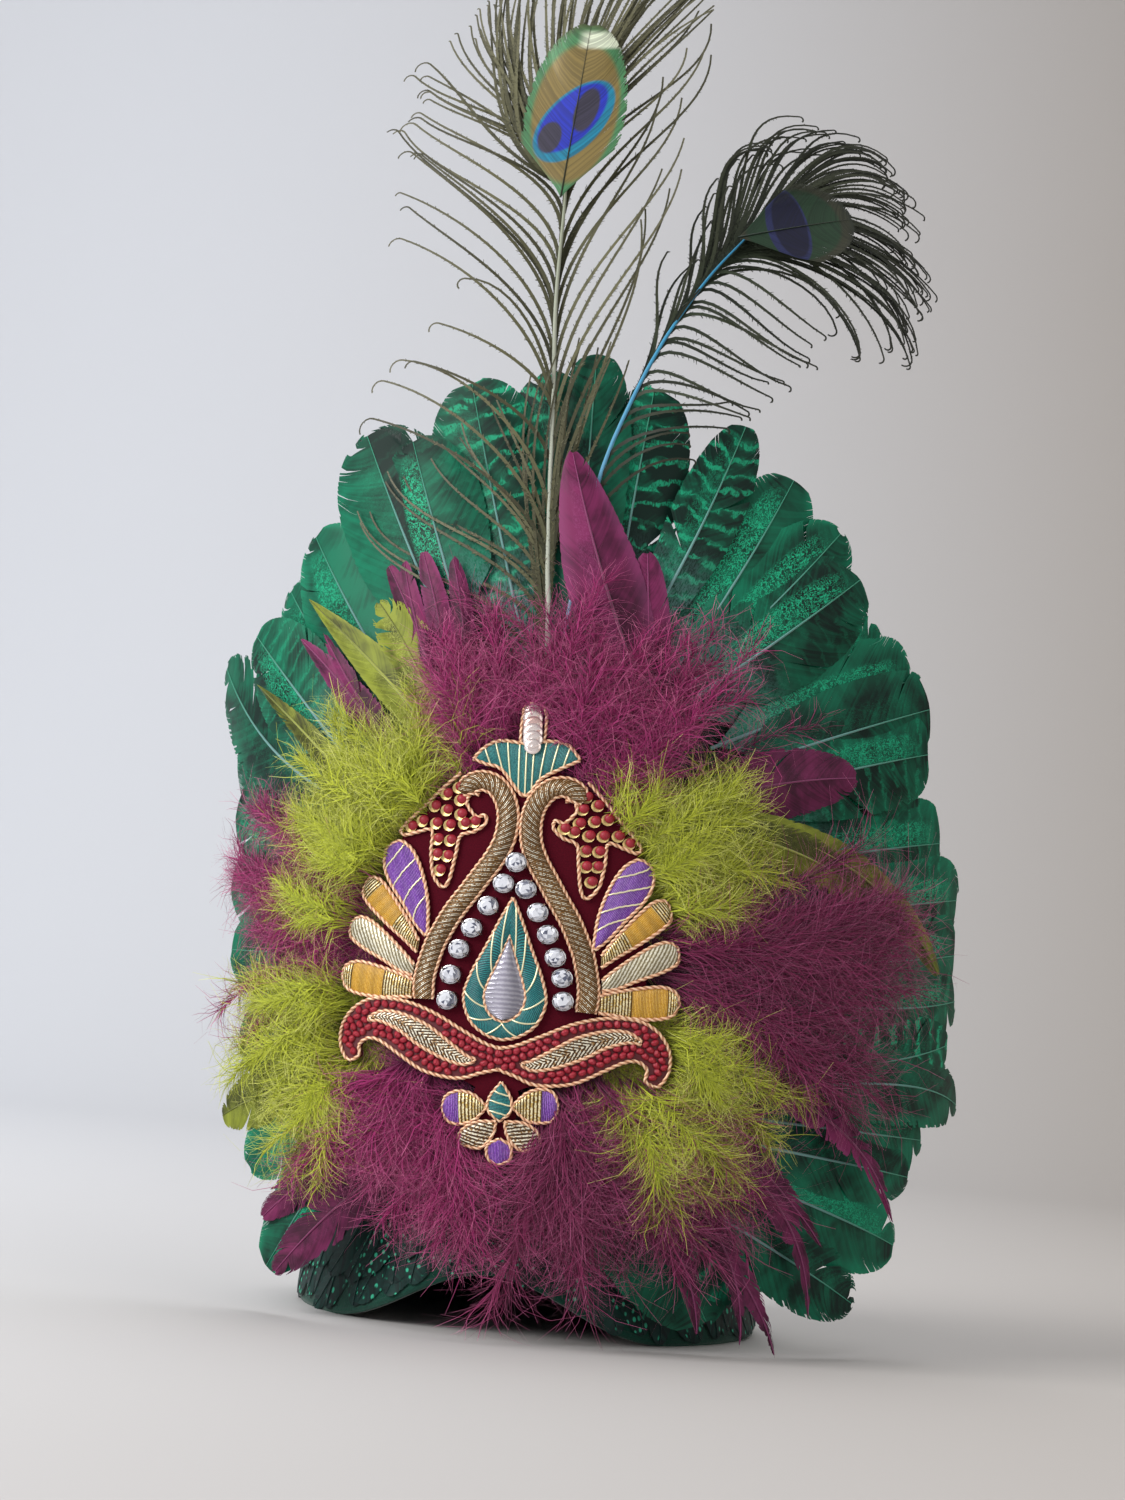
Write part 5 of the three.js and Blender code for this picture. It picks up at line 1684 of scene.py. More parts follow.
    def build(self) -> None:
        """Build each peacock feather as one piece."""
        for k, plume in enumerate(self.plumes):
            rng = np.random.default_rng(500 + k)
            sketch = Sketch(plume.node + "_feather")
            shaft = smooth_line(plume.shaft, self.shaft_points)
            for spray in plume.sprays:
                self.spray(sketch, shaft, spray, rng)
            share = np.linspace(0, 1, self.shaft_points)
            tube(sketch, SHIELD.place(*shaft.T), plume.root_radius * (1 - 0.6 * share), 7, 2,
                 place=vector3(share, np.array(0.5), np.array(0.5))[None, :, None])
            foot, top = plume.eye
            eye = Course(foot[:2], top[:2], (foot[2] + self.eye_rise, top[2] + self.eye_rise))
            grow_feather(sketch, eye, Disc(plume.eye_half), rng, slots=(1, 0))
            finishes = [plume.barb_finish, plume.eye_finish, plume.shaft_finish]
            report(sketch.build([finish.material() for finish in finishes]), "peacock_feather", [plume.node])


def thread_group() -> Tree:
    """Group for wound threads and wires: fine strands whose run and spacing each point carries, with painted
    shade in the grooves between strands and painted glints on their crests.

    Returns:
        The group, with outputs Color and Height.
    """
    graph, given, out = new_group("Wound thread", [
        ("Groove", "Color", srgb(80, 50, 30)), ("Thread", "Color", srgb(190, 150, 90)),
        ("Glint", "Color", srgb(240, 220, 170)), ("Glint Share", "Float", 0.2),
    ], [("Color", "Color"), ("Height", "Float")])
    along, across, tone = graph.split(graph.value("place"))
    by_run, by_width, painted_light = graph.split(graph.value("trait"))
    phase = graph.plus(graph.times(along, by_run), graph.times(across, by_width))
    wobble = graph.noise(graph.join(along, across, tone), 1.4, 2.0)
    phase = graph.plus(graph.plus(phase, 0.25), graph.times(wobble, 0.5))
    strand = graph.math("ABSOLUTE", graph.minus(graph.math("FRACT", phase), 0.5))
    crest = graph.ramp(strand, 0.04, 0.42, 1.0, 0.0)
    # painted shade: the colour falls from each strand's crest to the Groove colour between strands, and
    # darker still where the painted light is low
    colour = graph.mix(graph.times(crest, graph.ramp(painted_light, 0.0, 0.6, 0.28, 1.0)),
                       given["Groove"], given["Thread"])
    # painted highlight: glints of the Glint colour on the crests where the painted light is high
    spark = graph.noise(graph.join(graph.times(along, 0.9), graph.times(across, 1.5),
                                   graph.math("FLOOR", phase)), 1.3, 1.0)
    glint = graph.times(graph.ramp(spark, 0.42, 0.5), graph.ramp(crest, 0.25, 0.75))
    glint = graph.times(glint, graph.times(given["Glint Share"], graph.ramp(painted_light, 0.3, 0.9)))
    colour = graph.mix(glint, colour, given["Glint"])
    # the tone differs at random for most stitches; on the cords, the knots and the silver drop it carries
    # painted highlight and shade
    uneven = graph.plus(0.86, graph.times(tone, 0.28))
    shade = graph.add("HueSaturation", {"Value": uneven, "Color": colour})
    graph.feed(out.inputs["Color"], shade.outputs[0])
    graph.feed(out.inputs["Height"], crest)
    return graph.tree


@dataclass(frozen=True)
class ThreadFinish:
    """Thread or wire of the embroidery: the painted shade of its grooves, its thread colour, the colour of
    its painted glints, and how metallic it is.
    """

    name: str
    groove_shade: Colour
    thread: Colour
    glint: Colour
    metallic: float = 0.0
    roughness: float = 0.5
    glints: float = 0.5
    bump: float = 0.0001

    def material(self) -> Material:
        """Build the material."""
        material, graph, shader = start_material(self.name, Roughness=self.roughness, Metallic=self.metallic)
        wound = graph.use(Groups.get(thread_group), Groove=self.groove_shade, Thread=self.thread, Glint=self.glint,
                          Glint_Share=self.glints)
        graph.feed(shader.inputs["Base Color"], wound.outputs["Color"])
        add_bump(graph, shader, wound.outputs["Height"], 0.6, self.bump)
        return material


Side = tuple[Pair, ...]
LINE_STEP = 0.0004


@dataclass(frozen=True)
class Shape:
    """Outline of a motif: two sides from its root to its tip, as shares of the patch's sizes."""

    left: Side
    right: Side

    def mirrored(self) -> "Shape":
        """The same outline on the other side of the patch."""
        return Shape(tuple((-a, u) for a, u in self.left), tuple((-a, u) for a, u in self.right))

    def fill(self, rows: int, columns: Array) -> Array:
        """Points between the sides.

        Args:
            rows: Number of places from the root to the tip.
            columns: Places from -1 on the left side to 1 on the right side.

        Returns:
            Array of shape (rows, columns, 2) in metres.
        """
        sides = [spread_line(side, rows) for side in self.smooth_sides()]
        share = ((columns + 1) / 2)[None, :, None]
        return sides[0][:, None] * (1 - share) + sides[1][:, None] * share

    def smooth_sides(self) -> list[Array]:
        """The two sides as dense smooth lines, in metres."""
        return [smooth_line(PATCH.flat(side), 160) for side in (self.left, self.right)]

    def edge(self, step: float = LINE_STEP) -> Array:
        """Closed line round the outline, in metres."""
        left, right = self.smooth_sides()
        return even_line(np.vstack([left, right[-2::-1]]), step)


def spread_line(line: Array, count: int) -> Array:
    """A number of points spread evenly along a line."""
    run = np.concatenate([[0], np.cumsum(np.linalg.norm(np.diff(line, axis=0), axis=1))])
    spots = np.linspace(0, run[-1], count)
    return np.stack([np.interp(spots, run, line[:, k]) for k in range(line.shape[1])], 1)


def even_line(line: Array, step: float = LINE_STEP) -> Array:
    """Points at even steps along a line."""
    length = np.linalg.norm(np.diff(line, axis=0), axis=1).sum()
    return spread_line(line, max(4, int(length / step)))


def within(points: Array, ring: Array) -> Array:
    """Tell which points lie inside a closed line.

    Args:
        points: Flat points, with the last axis of size 2.
        ring: Points of the closed line.

    Returns:
        True for each point inside.
    """
    x, y = points[..., 0, None], points[..., 1, None]
    ends = np.roll(ring, -1, axis=0)
    crosses = (ring[:, 1] > y) != (ends[:, 1] > y)
    slope = (ends[:, 0] - ring[:, 0]) / (ends[:, 1] - ring[:, 1] + 1e-12)
    return np.sum(crosses & (x < ring[:, 0] + (y - ring[:, 1]) * slope), axis=-1) % 2 == 1


class Stitch(Enum):
    """How a motif is filled: strands per millimetre along and across, ridge height and material slot."""

    SATIN_ALONG = (0.0, 2.4, 0.00003)
    SATIN_ACROSS = (2.6, 0.0, 0.00004)
    COIL = (1.25, 0.0, 0.00022)
    CORD_SLANT = (0.62, 0.8, 0.0002)
    WEAVE = (0.75, 0.62, 0.00016)


@dataclass(frozen=True)
class StoneFinish:
    """Clear stone over foil: facets painted at random between grey and white as painted reflections, with a
    hard clear coat.
    """

    name: str

    def material(self) -> Material:
        """Build the material."""
        material, graph, shader = start_material(self.name, Roughness=0.08, Metallic=0.2, Coat_Weight=1.0,
                                                 Coat_Roughness=0.02)
        _, _, tone = graph.split(graph.value("place"))
        painted_sparkle = graph.ramp(tone, 0.05, 0.45)
        graph.feed(shader.inputs["Base Color"], graph.mix(painted_sparkle, srgb(96, 100, 120), srgb(240, 242, 250)))
        return material


CORD_RADIUS = 0.0006
CORD_TWIST = 0.0021
CORD_SIDES = 7
CORD_RISE = 0.0005
GOLD_LINE = 0.0003
Parts = Sequence[tuple[float, str, Stitch]]


@dataclass(frozen=True)
class Patch:
    """The embroidered patch: velvet ground, couched cords, wound petals, beads, drops and stones."""

    slots: tuple[str, ...] = (
        "velvet", "copper", "purple", "yellow", "wire", "ivory", "teal", "weave", "red", "silver", "pink"
    )
    ground_levels: tuple[float, ...] = (
        0.03, 0.1, 0.14, 0.17, 0.19, 0.22, 0.26, 0.3, 0.34, 0.4, 0.46, 0.52, 0.58, 0.62, 0.66, 0.7,
        0.725, 0.76, 0.8, 0.84, 0.87, 0.885
    )
    ground_halves: tuple[float, ...] = (
        0.08, 0.12, 0.14, 0.12, 0.3, 0.5, 0.62, 0.66, 0.76, 0.8, 0.8, 0.76, 0.7, 0.7, 0.7, 0.7, 0.7, 0.6,
        0.5, 0.38, 0.2, 0.1
    )
    purple: Shape = Shape(
        ((0.48, 0.49), (0.496, 0.565), (0.546, 0.63), (0.611, 0.674), (0.68, 0.694), (0.72, 0.695)),
        (
            (0.49, 0.49), (0.564, 0.517), (0.65, 0.56), (0.735, 0.6), (0.785, 0.637), (0.784, 0.676),
            (0.72, 0.695)
        )
    )
    yellow_upper: Shape = Shape(
        ((0.53, 0.478), (0.609, 0.523), (0.728, 0.579), (0.8, 0.606), (0.86, 0.612), (0.89, 0.603)),
        ((0.535, 0.452), (0.619, 0.478), (0.744, 0.512), (0.865, 0.55), (0.91, 0.575), (0.89, 0.603))
    )
    ivory: Shape = Shape(
        ((0.545, 0.424), (0.608, 0.447), (0.713, 0.481), (0.83, 0.512), (0.91, 0.521), (0.965, 0.51)),
        ((0.55, 0.4), (0.64, 0.41), (0.745, 0.43), (0.889, 0.455), (0.969, 0.478), (0.965, 0.51))
    )
    yellow_lower: Shape = Shape(
        ((0.54, 0.39), (0.639, 0.402), (0.767, 0.414), (0.897, 0.421), (0.975, 0.411), (1.0, 0.388)),
        ((0.54, 0.352), (0.631, 0.35), (0.727, 0.346), (0.877, 0.349), (0.965, 0.361), (1.0, 0.388))
    )
    cluster: Side = (
        (0.37, 0.854), (0.484, 0.812), (0.599, 0.766), (0.703, 0.723), (0.678, 0.71), (0.601, 0.718),
        (0.514, 0.724), (0.506, 0.678), (0.481, 0.628), (0.421, 0.602), (0.383, 0.618), (0.357, 0.674),
        (0.338, 0.716), (0.259, 0.728), (0.198, 0.747), (0.204, 0.765), (0.25, 0.76), (0.287, 0.771),
        (0.319, 0.79), (0.298, 0.81), (0.25, 0.808)
    )
    leaf_shape: Shape = Shape(
        (
            (-0.305, 0.885), (-0.237, 0.914), (-0.146, 0.929), (0.01, 0.926), (0.116, 0.935),
            (0.23, 0.931), (0.315, 0.9)
        ),
        (
            (-0.305, 0.885), (-0.227, 0.876), (-0.131, 0.866), (0.01, 0.813), (0.1, 0.852),
            (0.199, 0.876), (0.315, 0.9)
        )
    )
    red_shape: Shape = Shape(
        (
            (-0.006, 0.255), (0.088, 0.264), (0.232, 0.29), (0.412, 0.323), (0.596, 0.342),
            (0.784, 0.341), (0.903, 0.316), (0.969, 0.276), (0.97, 0.233), (0.925, 0.203), (0.885, 0.2)
        ),
        (
            (0.0, 0.209), (0.103, 0.197), (0.192, 0.184), (0.295, 0.182), (0.443, 0.193), (0.586, 0.222),
            (0.712, 0.248), (0.79, 0.252), (0.845, 0.236), (0.84, 0.212), (0.885, 0.2)
        )
    )
    paisley: tuple[Triple, ...] = (
        (0.134, 0.225, 0.0003), (0.2, 0.224, 0.0016), (0.282, 0.236, 0.0025), (0.37, 0.253, 0.0031),
        (0.462, 0.272, 0.0034), (0.56, 0.29, 0.0028), (0.644, 0.3, 0.0023), (0.72, 0.303, 0.0016),
        (0.795, 0.295, 0.0005)
    )
    scroll: Side = (
        (0.36, 0.812), (0.27, 0.837), (0.17, 0.833), (0.1, 0.805), (0.068, 0.765), (0.078, 0.715),
        (0.125, 0.673), (0.19, 0.635), (0.262, 0.592), (0.335, 0.55), (0.395, 0.505), (0.435, 0.468),
        (0.475, 0.4), (0.47, 0.35)
    )
    scroll_half: float = 0.0026
    drop_widths: Side = (
        (0, 0.06), (0.15, 0.25), (0.35, 0.55), (0.55, 0.86), (0.72, 1), (0.88, 0.8), (0.97, 0.4),
        (1, 0.08)
    )
    teal_drop: Triple = (0.59, 0.275, 0.235)
    silver_drop: Triple = (0.5, 0.318, 0.115)
    beads: Side = (
        (0.371, 0.822), (0.44, 0.806), (0.355, 0.795), (0.505, 0.778), (0.43, 0.771), (0.345, 0.764),
        (0.572, 0.744), (0.487, 0.741), (0.405, 0.739), (0.318, 0.745), (0.26, 0.75), (0.47, 0.707),
        (0.393, 0.706), (0.468, 0.674), (0.402, 0.672), (0.44, 0.64), (0.638, 0.73)
    )
    stone_places: Side = (
        (0.004, 0.668), (-0.057, 0.62), (0.073, 0.611), (-0.135, 0.568), (0.151, 0.562), (-0.218, 0.516),
        (0.218, 0.515), (-0.282, 0.467), (0.272, 0.466), (-0.318, 0.409), (0.32, 0.422), (-0.325, 0.352),
        (0.336, 0.371)
    )
    stone_radius: float = 0.0031
    flower_drop: Shape = Shape(
        ((0.03, 0.182), (-0.03, 0.148), (-0.034, 0.118), (0.035, 0.096)),
        ((0.03, 0.182), (0.09, 0.148), (0.094, 0.118), (0.035, 0.096))
    )
    flower_buds: tuple[Shape, ...] = (
        Shape(
            ((-0.041, 0.124), (-0.121, 0.148), (-0.213, 0.154), (-0.285, 0.14), (-0.3, 0.113)),
            ((-0.041, 0.124), (-0.11, 0.094), (-0.197, 0.081), (-0.268, 0.088), (-0.3, 0.113))
        ),
        Shape(
            ((0.098, 0.13), (0.176, 0.162), (0.263, 0.174), (0.332, 0.166), (0.362, 0.136)),
            ((0.098, 0.13), (0.189, 0.103), (0.274, 0.1), (0.338, 0.108), (0.362, 0.136))
        )
    )
    flower_petals: tuple[Shape, ...] = (
        Shape(
            ((0.017, 0.094), (-0.092, 0.09), (-0.177, 0.068), (-0.193, 0.039)),
            ((0.017, 0.094), (0.003, 0.063), (-0.065, 0.033), (-0.193, 0.039))
        ),
        Shape(
            ((0.065, 0.096), (0.177, 0.096), (0.263, 0.076), (0.279, 0.045)),
            ((0.065, 0.096), (0.093, 0.062), (0.174, 0.036), (0.279, 0.045))
        )
    )
    flower_foot: Shape = Shape(
        ((0.045, 0.057), (-0.02, 0.041), (-0.01, 0.012), (0.05, 0.0)),
        ((0.045, 0.057), (0.11, 0.044), (0.115, 0.014), (0.05, 0.0))
    )
    finishes: tuple[ThreadFinish, ...] = (
        ThreadFinish(
            "Copper cord", srgb(150, 86, 60), srgb(244, 186, 144), srgb(255, 236, 208), 0.25, 0.45, 0.6
        ),
        ThreadFinish(
            "Purple satin", srgb(66, 24, 110), srgb(146, 76, 196), srgb(196, 150, 230), 0.0, 0.38, 0.5,
            0.00014
        ),
        ThreadFinish(
            "Yellow satin", srgb(160, 104, 14), srgb(230, 178, 46), srgb(250, 214, 120), 0.0, 0.38, 0.5,
            0.00014
        ),
        ThreadFinish(
            "Gold wire", srgb(80, 52, 14), srgb(226, 190, 104), srgb(255, 246, 206), 0.55, 0.32, 0.9
        ),
        ThreadFinish(
            "Ivory cord", srgb(128, 116, 84), srgb(222, 214, 186), srgb(255, 252, 238), 0.35, 0.36, 0.6
        ),
        ThreadFinish(
            "Teal satin", srgb(2, 56, 64), srgb(12, 128, 130), srgb(76, 184, 178), 0.0, 0.42, 0.5,
            0.00014
        ),
        ThreadFinish(
            "Gold weave", srgb(62, 38, 14), srgb(164, 120, 62), srgb(255, 250, 228), 0.35, 0.34, 1.0,
            0.00016
        ),
        ThreadFinish("Red thread", srgb(58, 4, 14), srgb(150, 18, 40), srgb(190, 62, 76), 0.0, 0.5, 0.3),
        ThreadFinish(
            "Silver strip", srgb(150, 146, 160), srgb(192, 190, 200), srgb(255, 255, 255), 0.4, 0.2, 0.9
        ),
        ThreadFinish(
            "Pink sequin", srgb(150, 96, 88), srgb(232, 196, 188), srgb(255, 245, 240), 0.75, 0.25, 0.8
        )
    )
    stone_rings: tuple[Triple, ...] = (
        (0.93, 0.0011, 0.0), (0.86, 0.0017, 0.0), (0.66, 0.0026, math.pi / 8), (0.46, 0.003, 0.0),
        (0.001, 0.003, 0.0)
    )
    cup_rings: Side = ((1.0, -0.0012), (1.0, 0.0012), (0.9, 0.0013), (0.9, 0.0009))
    claw: Side = ((1.04, -0.001), (1.04, 0.0012), (0.93, 0.0021), (0.74, 0.0027))
    materials: list[Material] = field(default_factory=list, init=False)

    def velvet(self) -> Material:
        """Burgundy velvet of the ground."""
        material, graph, shader = start_material("Velvet", Roughness=0.95, Sheen_Weight=0.7,
                                                 Sheen_Roughness=0.35, Sheen_Tint=srgb(190, 60, 80),
                                                 Specular_IOR_Level=0.1)
        cloud = graph.noise(graph.value("place"), 2.2, 3.0)
        graph.feed(shader.inputs["Base Color"], graph.mix(cloud, srgb(48, 6, 18), srgb(96, 14, 32)))
        return material

    def slot(self, name: str) -> int:
        """Number of a material slot."""
        return self.slots.index(name)

    def plain(self, sketch: Sketch, points: Array, slot: str, tone: float, painted_light: float) -> None:
        """Add a sheet of one tone and one strength of painted light."""
        sketch.sheet(points, self.slot(slot), place=np.array([0.0, 0.0, tone]),
                     trait=np.array([0.0, 0.0, painted_light]))

    def gold_line(self, sketch: Sketch, points: Array) -> None:
        """Lay one fine gold line through points of the frame."""
        tube(sketch, points, GOLD_LINE, 5, self.slot("wire"), place=np.array([0.0, 0.0, 0.9]),
             trait=np.array([0.0, 0.0, 1.0]))

    def cord(self, sketch: Sketch, line: Array, off: float, radius: float = CORD_RADIUS, slot: str = "copper",
             twist: float = CORD_TWIST) -> None:
        """Lay a two-ply cord along a line.

        Args:
            sketch: Piece that takes the cord.
            line: Across and height of points about 0.4 mm apart.
            off: Height of its middle over the shield.
            radius: Radius of the cord.
            slot: Its material.
            twist: Length of one turn of its plies.
        """
        run = np.concatenate([[0], np.cumsum(np.linalg.norm(np.diff(line, axis=0), axis=1))])
        turn = np.arange(CORD_SIDES) / CORD_SIDES * 2 * np.pi
        # The plies also paint light: the colour is lighter on each ply's crest and darker, as painted shade,
        # where the plies meet.
        plies = np.cos(2 * turn[None, :] - 2 * np.pi * run[:, None] / twist)
        place = vector3(1000 * run[:, None], turn[None, :], np.clip(0.5 + 0.5 * plies, 0, 1))[None]
        trait = vector3(np.array(0.0), np.array(0.0), 0.5 + 0.5 * plies)[None]
        tube(sketch, SHIELD.lay(line, off), radius * (1 + 0.2 * plies), CORD_SIDES, self.slot(slot),
             place=place, trait=trait)

    def pillow(self, sketch: Sketch, shape: Shape, parts: Parts, crown: float, face: float = PATCH.face,
               across: int = 15, step: float = 0.00024) -> None:
        """Fill an outline with padded stitching.

        Args:
            sketch: Piece that takes it.
            shape: The outline.
            parts: Where each part ends, as a share from the root, with its material and stitch.
            crown: Height of the padding.
            face: Height of the outline over the shield.
            across: Columns of the grid.
            step: Length of a row.
        """
        columns = 0.97 * np.sin(np.linspace(-1, 1, across) * np.pi / 2)
        middle = shape.fill(60, np.zeros(1))[:, 0]
        length = np.linalg.norm(np.diff(middle, axis=0), axis=1).sum()
        rows = max(12, int(length / step))
        flat = shape.fill(rows, columns)
        share = np.linspace(0, 1, rows)
        half = np.linalg.norm(flat[:, -1] - flat[:, 0], axis=1) / 2
        run = np.broadcast_to(share[:, None] * length * 1000, flat.shape[:2])
        width = columns[None, :] * half[:, None] * 1000
        ends = np.clip(np.minimum(share / 0.1, (1 - share) / 0.1), 0, 1) ** 0.6
        dome = face + crown * np.sqrt(np.maximum(0, 1 - columns[None, :] ** 2)) * ends[:, None]
        first = 0.0
        for last, slot, stitch in parts:
            rows_in = (share >= first - 1e-9) & (share <= last + 1.0 / rows)
            by_run, by_width, ridge = stitch.value
            phase = run[rows_in] * by_run + width[rows_in] * by_width
            off = dome[rows_in] + ridge * np.sqrt(np.abs(np.sin(phase * np.pi)))
            tone = 0.5 + 0.5 * np.sin(37.0 * np.floor(phase))
            sketch.sheet(SHIELD.lay(flat[rows_in], off), self.slot(slot),
                         place=vector3(run[rows_in], width[rows_in], tone),
                         trait=np.array([by_run, by_width, 0.8]))
            first = last

    def skirt(self, sketch: Sketch, edge: Array, top: float) -> None:
        """Stand a velvet wall under a closed line, down to the patch's floor."""
        sketch.sheet(np.stack([SHIELD.lay(edge, PATCH.floor), SHIELD.lay(edge, top)], 1), self.slot("velvet"),
                     place=vector3(1000 * edge[:, :1], 1000 * edge[:, 1:], np.array(0.0)))

    def crossing(self, sketch: Sketch, shape: Shape, shares: Sequence[float], slant: float, crown: float,
                 face: float = PATCH.face) -> None:
        """Lay fine gold lines over a padded motif, from side to side and slanting along it."""
        columns = np.linspace(-0.97, 0.97, 15)
        flat = shape.fill(101, columns)
        for share in shares:
            rows = np.clip((share + slant * columns * 0.5) * 100, 0, 100).astype(int)
            line = flat[rows, np.arange(15)]
            self.gold_line(sketch, SHIELD.lay(line, face + crown * np.sqrt(1 - columns ** 2) + 0.0001))

    def petals(self, sketch: Sketch) -> None:
        """Fill the four petals on each side, with their velvet walls and copper cords."""
        coil, satin = Stitch.COIL, Stitch.SATIN_ACROSS
        bands = ((0.36, "wire", coil), (0.76, "yellow", satin), (1.0, "wire", coil))
        rows = ((self.purple, ((1.0, "purple", Stitch.SATIN_ALONG),)), (self.yellow_upper, bands),
                (self.ivory, ((1.0, "ivory", Stitch.CORD_SLANT),)), (self.yellow_lower, bands))
        for mirrored in (False, True):
            for k, (shape, parts) in enumerate(rows):
                motif = shape.mirrored() if mirrored else shape
                self.motif(sketch, motif, parts, 0.0015 - 0.0001 * k, radius=CORD_RADIUS)
                if shape is self.purple:
                    slant = -0.22 if mirrored else 0.22
                    self.crossing(sketch, motif, (0.28, 0.46, 0.64, 0.82), slant, 0.0015)

    def flower(self, sketch: Sketch) -> None:
        """Fill the small flower at the patch's foot."""
        coil = Stitch.COIL
        for shape in self.flower_buds:
            self.motif(sketch, shape, ((0.55, "wire", coil), (1.0, "purple", Stitch.SATIN_ACROSS)), 0.0012)
        for shape in self.flower_petals:
            self.motif(sketch, shape, ((1.0, "weave", Stitch.WEAVE),), 0.0011)
        self.motif(sketch, self.flower_foot, ((1.0, "purple", Stitch.SATIN_ALONG),), 0.001)
        face = PATCH.face + 0.0003
        self.motif(sketch, self.flower_drop, ((1.0, "teal", Stitch.SATIN_ACROSS),), 0.0014, face)
        self.crossing(sketch, self.flower_drop, (0.3, 0.52, 0.75), 0.12, 0.0014, face)

    def motif(self, sketch: Sketch, shape: Shape, parts: Parts, crown: float, face: float = PATCH.face,
              radius: float = CORD_RADIUS * 0.9, step: float = 0.00024) -> None:
        """Fill an outline, with its velvet wall and copper cord."""
        self.pillow(sketch, shape, parts, crown, face, step=step)
        edge = shape.edge()
        self.skirt(sketch, edge, face)
        self.cord(sketch, edge, face + CORD_RISE, radius)

    def leaf(self, sketch: Sketch) -> None:
        """Fill the teal leaf at the top, with its gold lines and the stack of sequins over it."""
        self.motif(sketch, self.leaf_shape, ((1.0, "teal", Stitch.SATIN_ACROSS),), 0.0011,
                   radius=CORD_RADIUS, step=0.00035)
        shares = (0.14, 0.24, 0.34, 0.44, 0.5, 0.56, 0.66, 0.76, 0.86)
        self.crossing(sketch, self.leaf_shape, shares, 0.0, 0.0011)
        turn = np.linspace(0, 2 * np.pi, 25)[None, :]
        for i in range(6):
            middle = PATCH.spot(0.036 - 0.004 * i, 0.92 + 0.0155 * i)
            radius = 0.0029 * np.array([0.12, 0.5, 1.0, 1.0])[:, None] * (0.85 if i in (0, 5) else 1.0)
            off = PATCH.face + 0.0016 - 0.00012 * i + np.array([0.0002, 0.0, 0.00035, 0.0])[:, None]
            lean = 0.00012 * np.sin(turn) * radius / 0.0029
            sketch.sheet(SHIELD.ring(middle, radius, turn, off + lean), self.slot("pink"),
                         place=np.array([3.0 * i, 0.0, 0.5 + 0.1 * i]), trait=np.array([0.0, 0.0, 0.8]))
        up = np.linspace(0.93, 0.995, 30)
        for side in (-1, 1):
            bulge = 0.066 + 0.004 * np.sin((up - 0.93) / 0.065 * np.pi)
            line = np.stack(PATCH.spot(0.028 + side * bulge, up), 1)
            self.cord(sketch, even_line(line), PATCH.face + 0.0004)
        arc = np.linspace(-np.pi / 2, np.pi / 2, 30)
        top = np.stack(PATCH.spot(0.024 + 0.066 * np.sin(arc), 0.995 + 0.021 * np.cos(arc)), 1)
        self.cord(sketch, even_line(top), PATCH.face + 0.0004)
        self.skirt(sketch, np.vstack([top, top[:1]]), PATCH.face)

    def clusters(self, sketch: Sketch) -> None:
        """Lay the two bead clusters: cups of pale gold with dark red beads, and their cords."""
        turn = np.linspace(0, 2 * np.pi, 13)
        rise = np.linspace(0, np.pi / 2, 5)
        for side in (-1, 1):
            line = smooth_line(PATCH.flat([(side * a, u) for a, u in self.cluster]), 500)
            self.cord(sketch, even_line(line), PATCH.face + 0.0001)
            for k, (a, u) in enumerate(self.beads):
                across, up = PATCH.spot(side * a, u)
                cup = 0.0019 * np.array([0.2, 0.75, 1.0])[:, None]
                off = PATCH.ground + np.array([0.0006, 0.0009, 0.0011])[:, None] + 0.0002 * np.sin(turn)[None]
                holder = SHIELD.ring((across - 0.0003, up - 0.0003), cup, turn, off)
                self.plain(sketch, holder, "wire", 0.6, 0.5)
                radius = 0.00155 * np.cos(rise)[:, None]
                top = PATCH.ground + 0.001 + 0.0012 * np.sin(rise)[:, None]
                bead = SHIELD.ring((across + 0.00025, up + 0.0002), radius, turn, top)
                self.plain(sketch, bead, "red", 0.3 + 0.4 * (k % 3) / 2, 0.6)

    def ground(self, sketch: Sketch) -> None:
        """Stretch the velvet ground and stand its edge."""
        up = np.linspace(self.ground_levels[0], self.ground_levels[-1], 70)
        half = np.interp(up, self.ground_levels, self.ground_halves)
        columns = np.linspace(-1, 1, 41)
        across, height = PATCH.spot(half[:, None] * columns, up[:, None] + 0 * columns)
        sketch.sheet(SHIELD.place(across, height, PATCH.ground),
                     place=vector3(1000 * across, 1000 * height, np.array(0.0)))
        edge = np.stack([np.concatenate([across[:, 0], across[::-1, -1]]),
                         np.concatenate([height[:, 0], height[::-1, -1]])], 1)
        self.skirt(sketch, edge, PATCH.ground)

    def scrolls(self) -> None:
        """Build the two woven gold scrolls, each between two copper cords."""
        columns = np.linspace(-1, 1, 15)
        for name, side in (("gold_scroll_left", -1), ("gold_scroll_right", 1)):
            sketch = Sketch(name + "_weave")
            route = PATCH.flat([(side * a, u) for a, u in self.scroll])
            line = even_line(smooth_line(route, 300), 0.0003)
            ahead = np.gradient(line, axis=0)
            ahead /= np.linalg.norm(ahead, axis=1, keepdims=True)
            aside = np.stack([ahead[:, 1], -ahead[:, 0]], 1)
            run = np.arange(len(line)) * 0.3
            half = self.scroll_half * np.clip(np.minimum(0.45 + run / 5, 0.9 + (run[-1] - run) / 20), 0, 1)
            width = columns[None, :] * half[:, None]
            flat = line[:, None] + aside[:, None] * width[..., None]
            phase = run[:, None] * 0.5 + 0.42 * side * width * 1000
            crest = np.sqrt(np.abs(np.sin(phase * np.pi)))
            off = PATCH.face + 0.0002 + 0.0014 * np.sqrt(1 - 0.96 * columns[None, :] ** 2) + 0.0006 * crest
            tone = 0.5 + 0.5 * np.sin(12.9 * np.floor(phase))
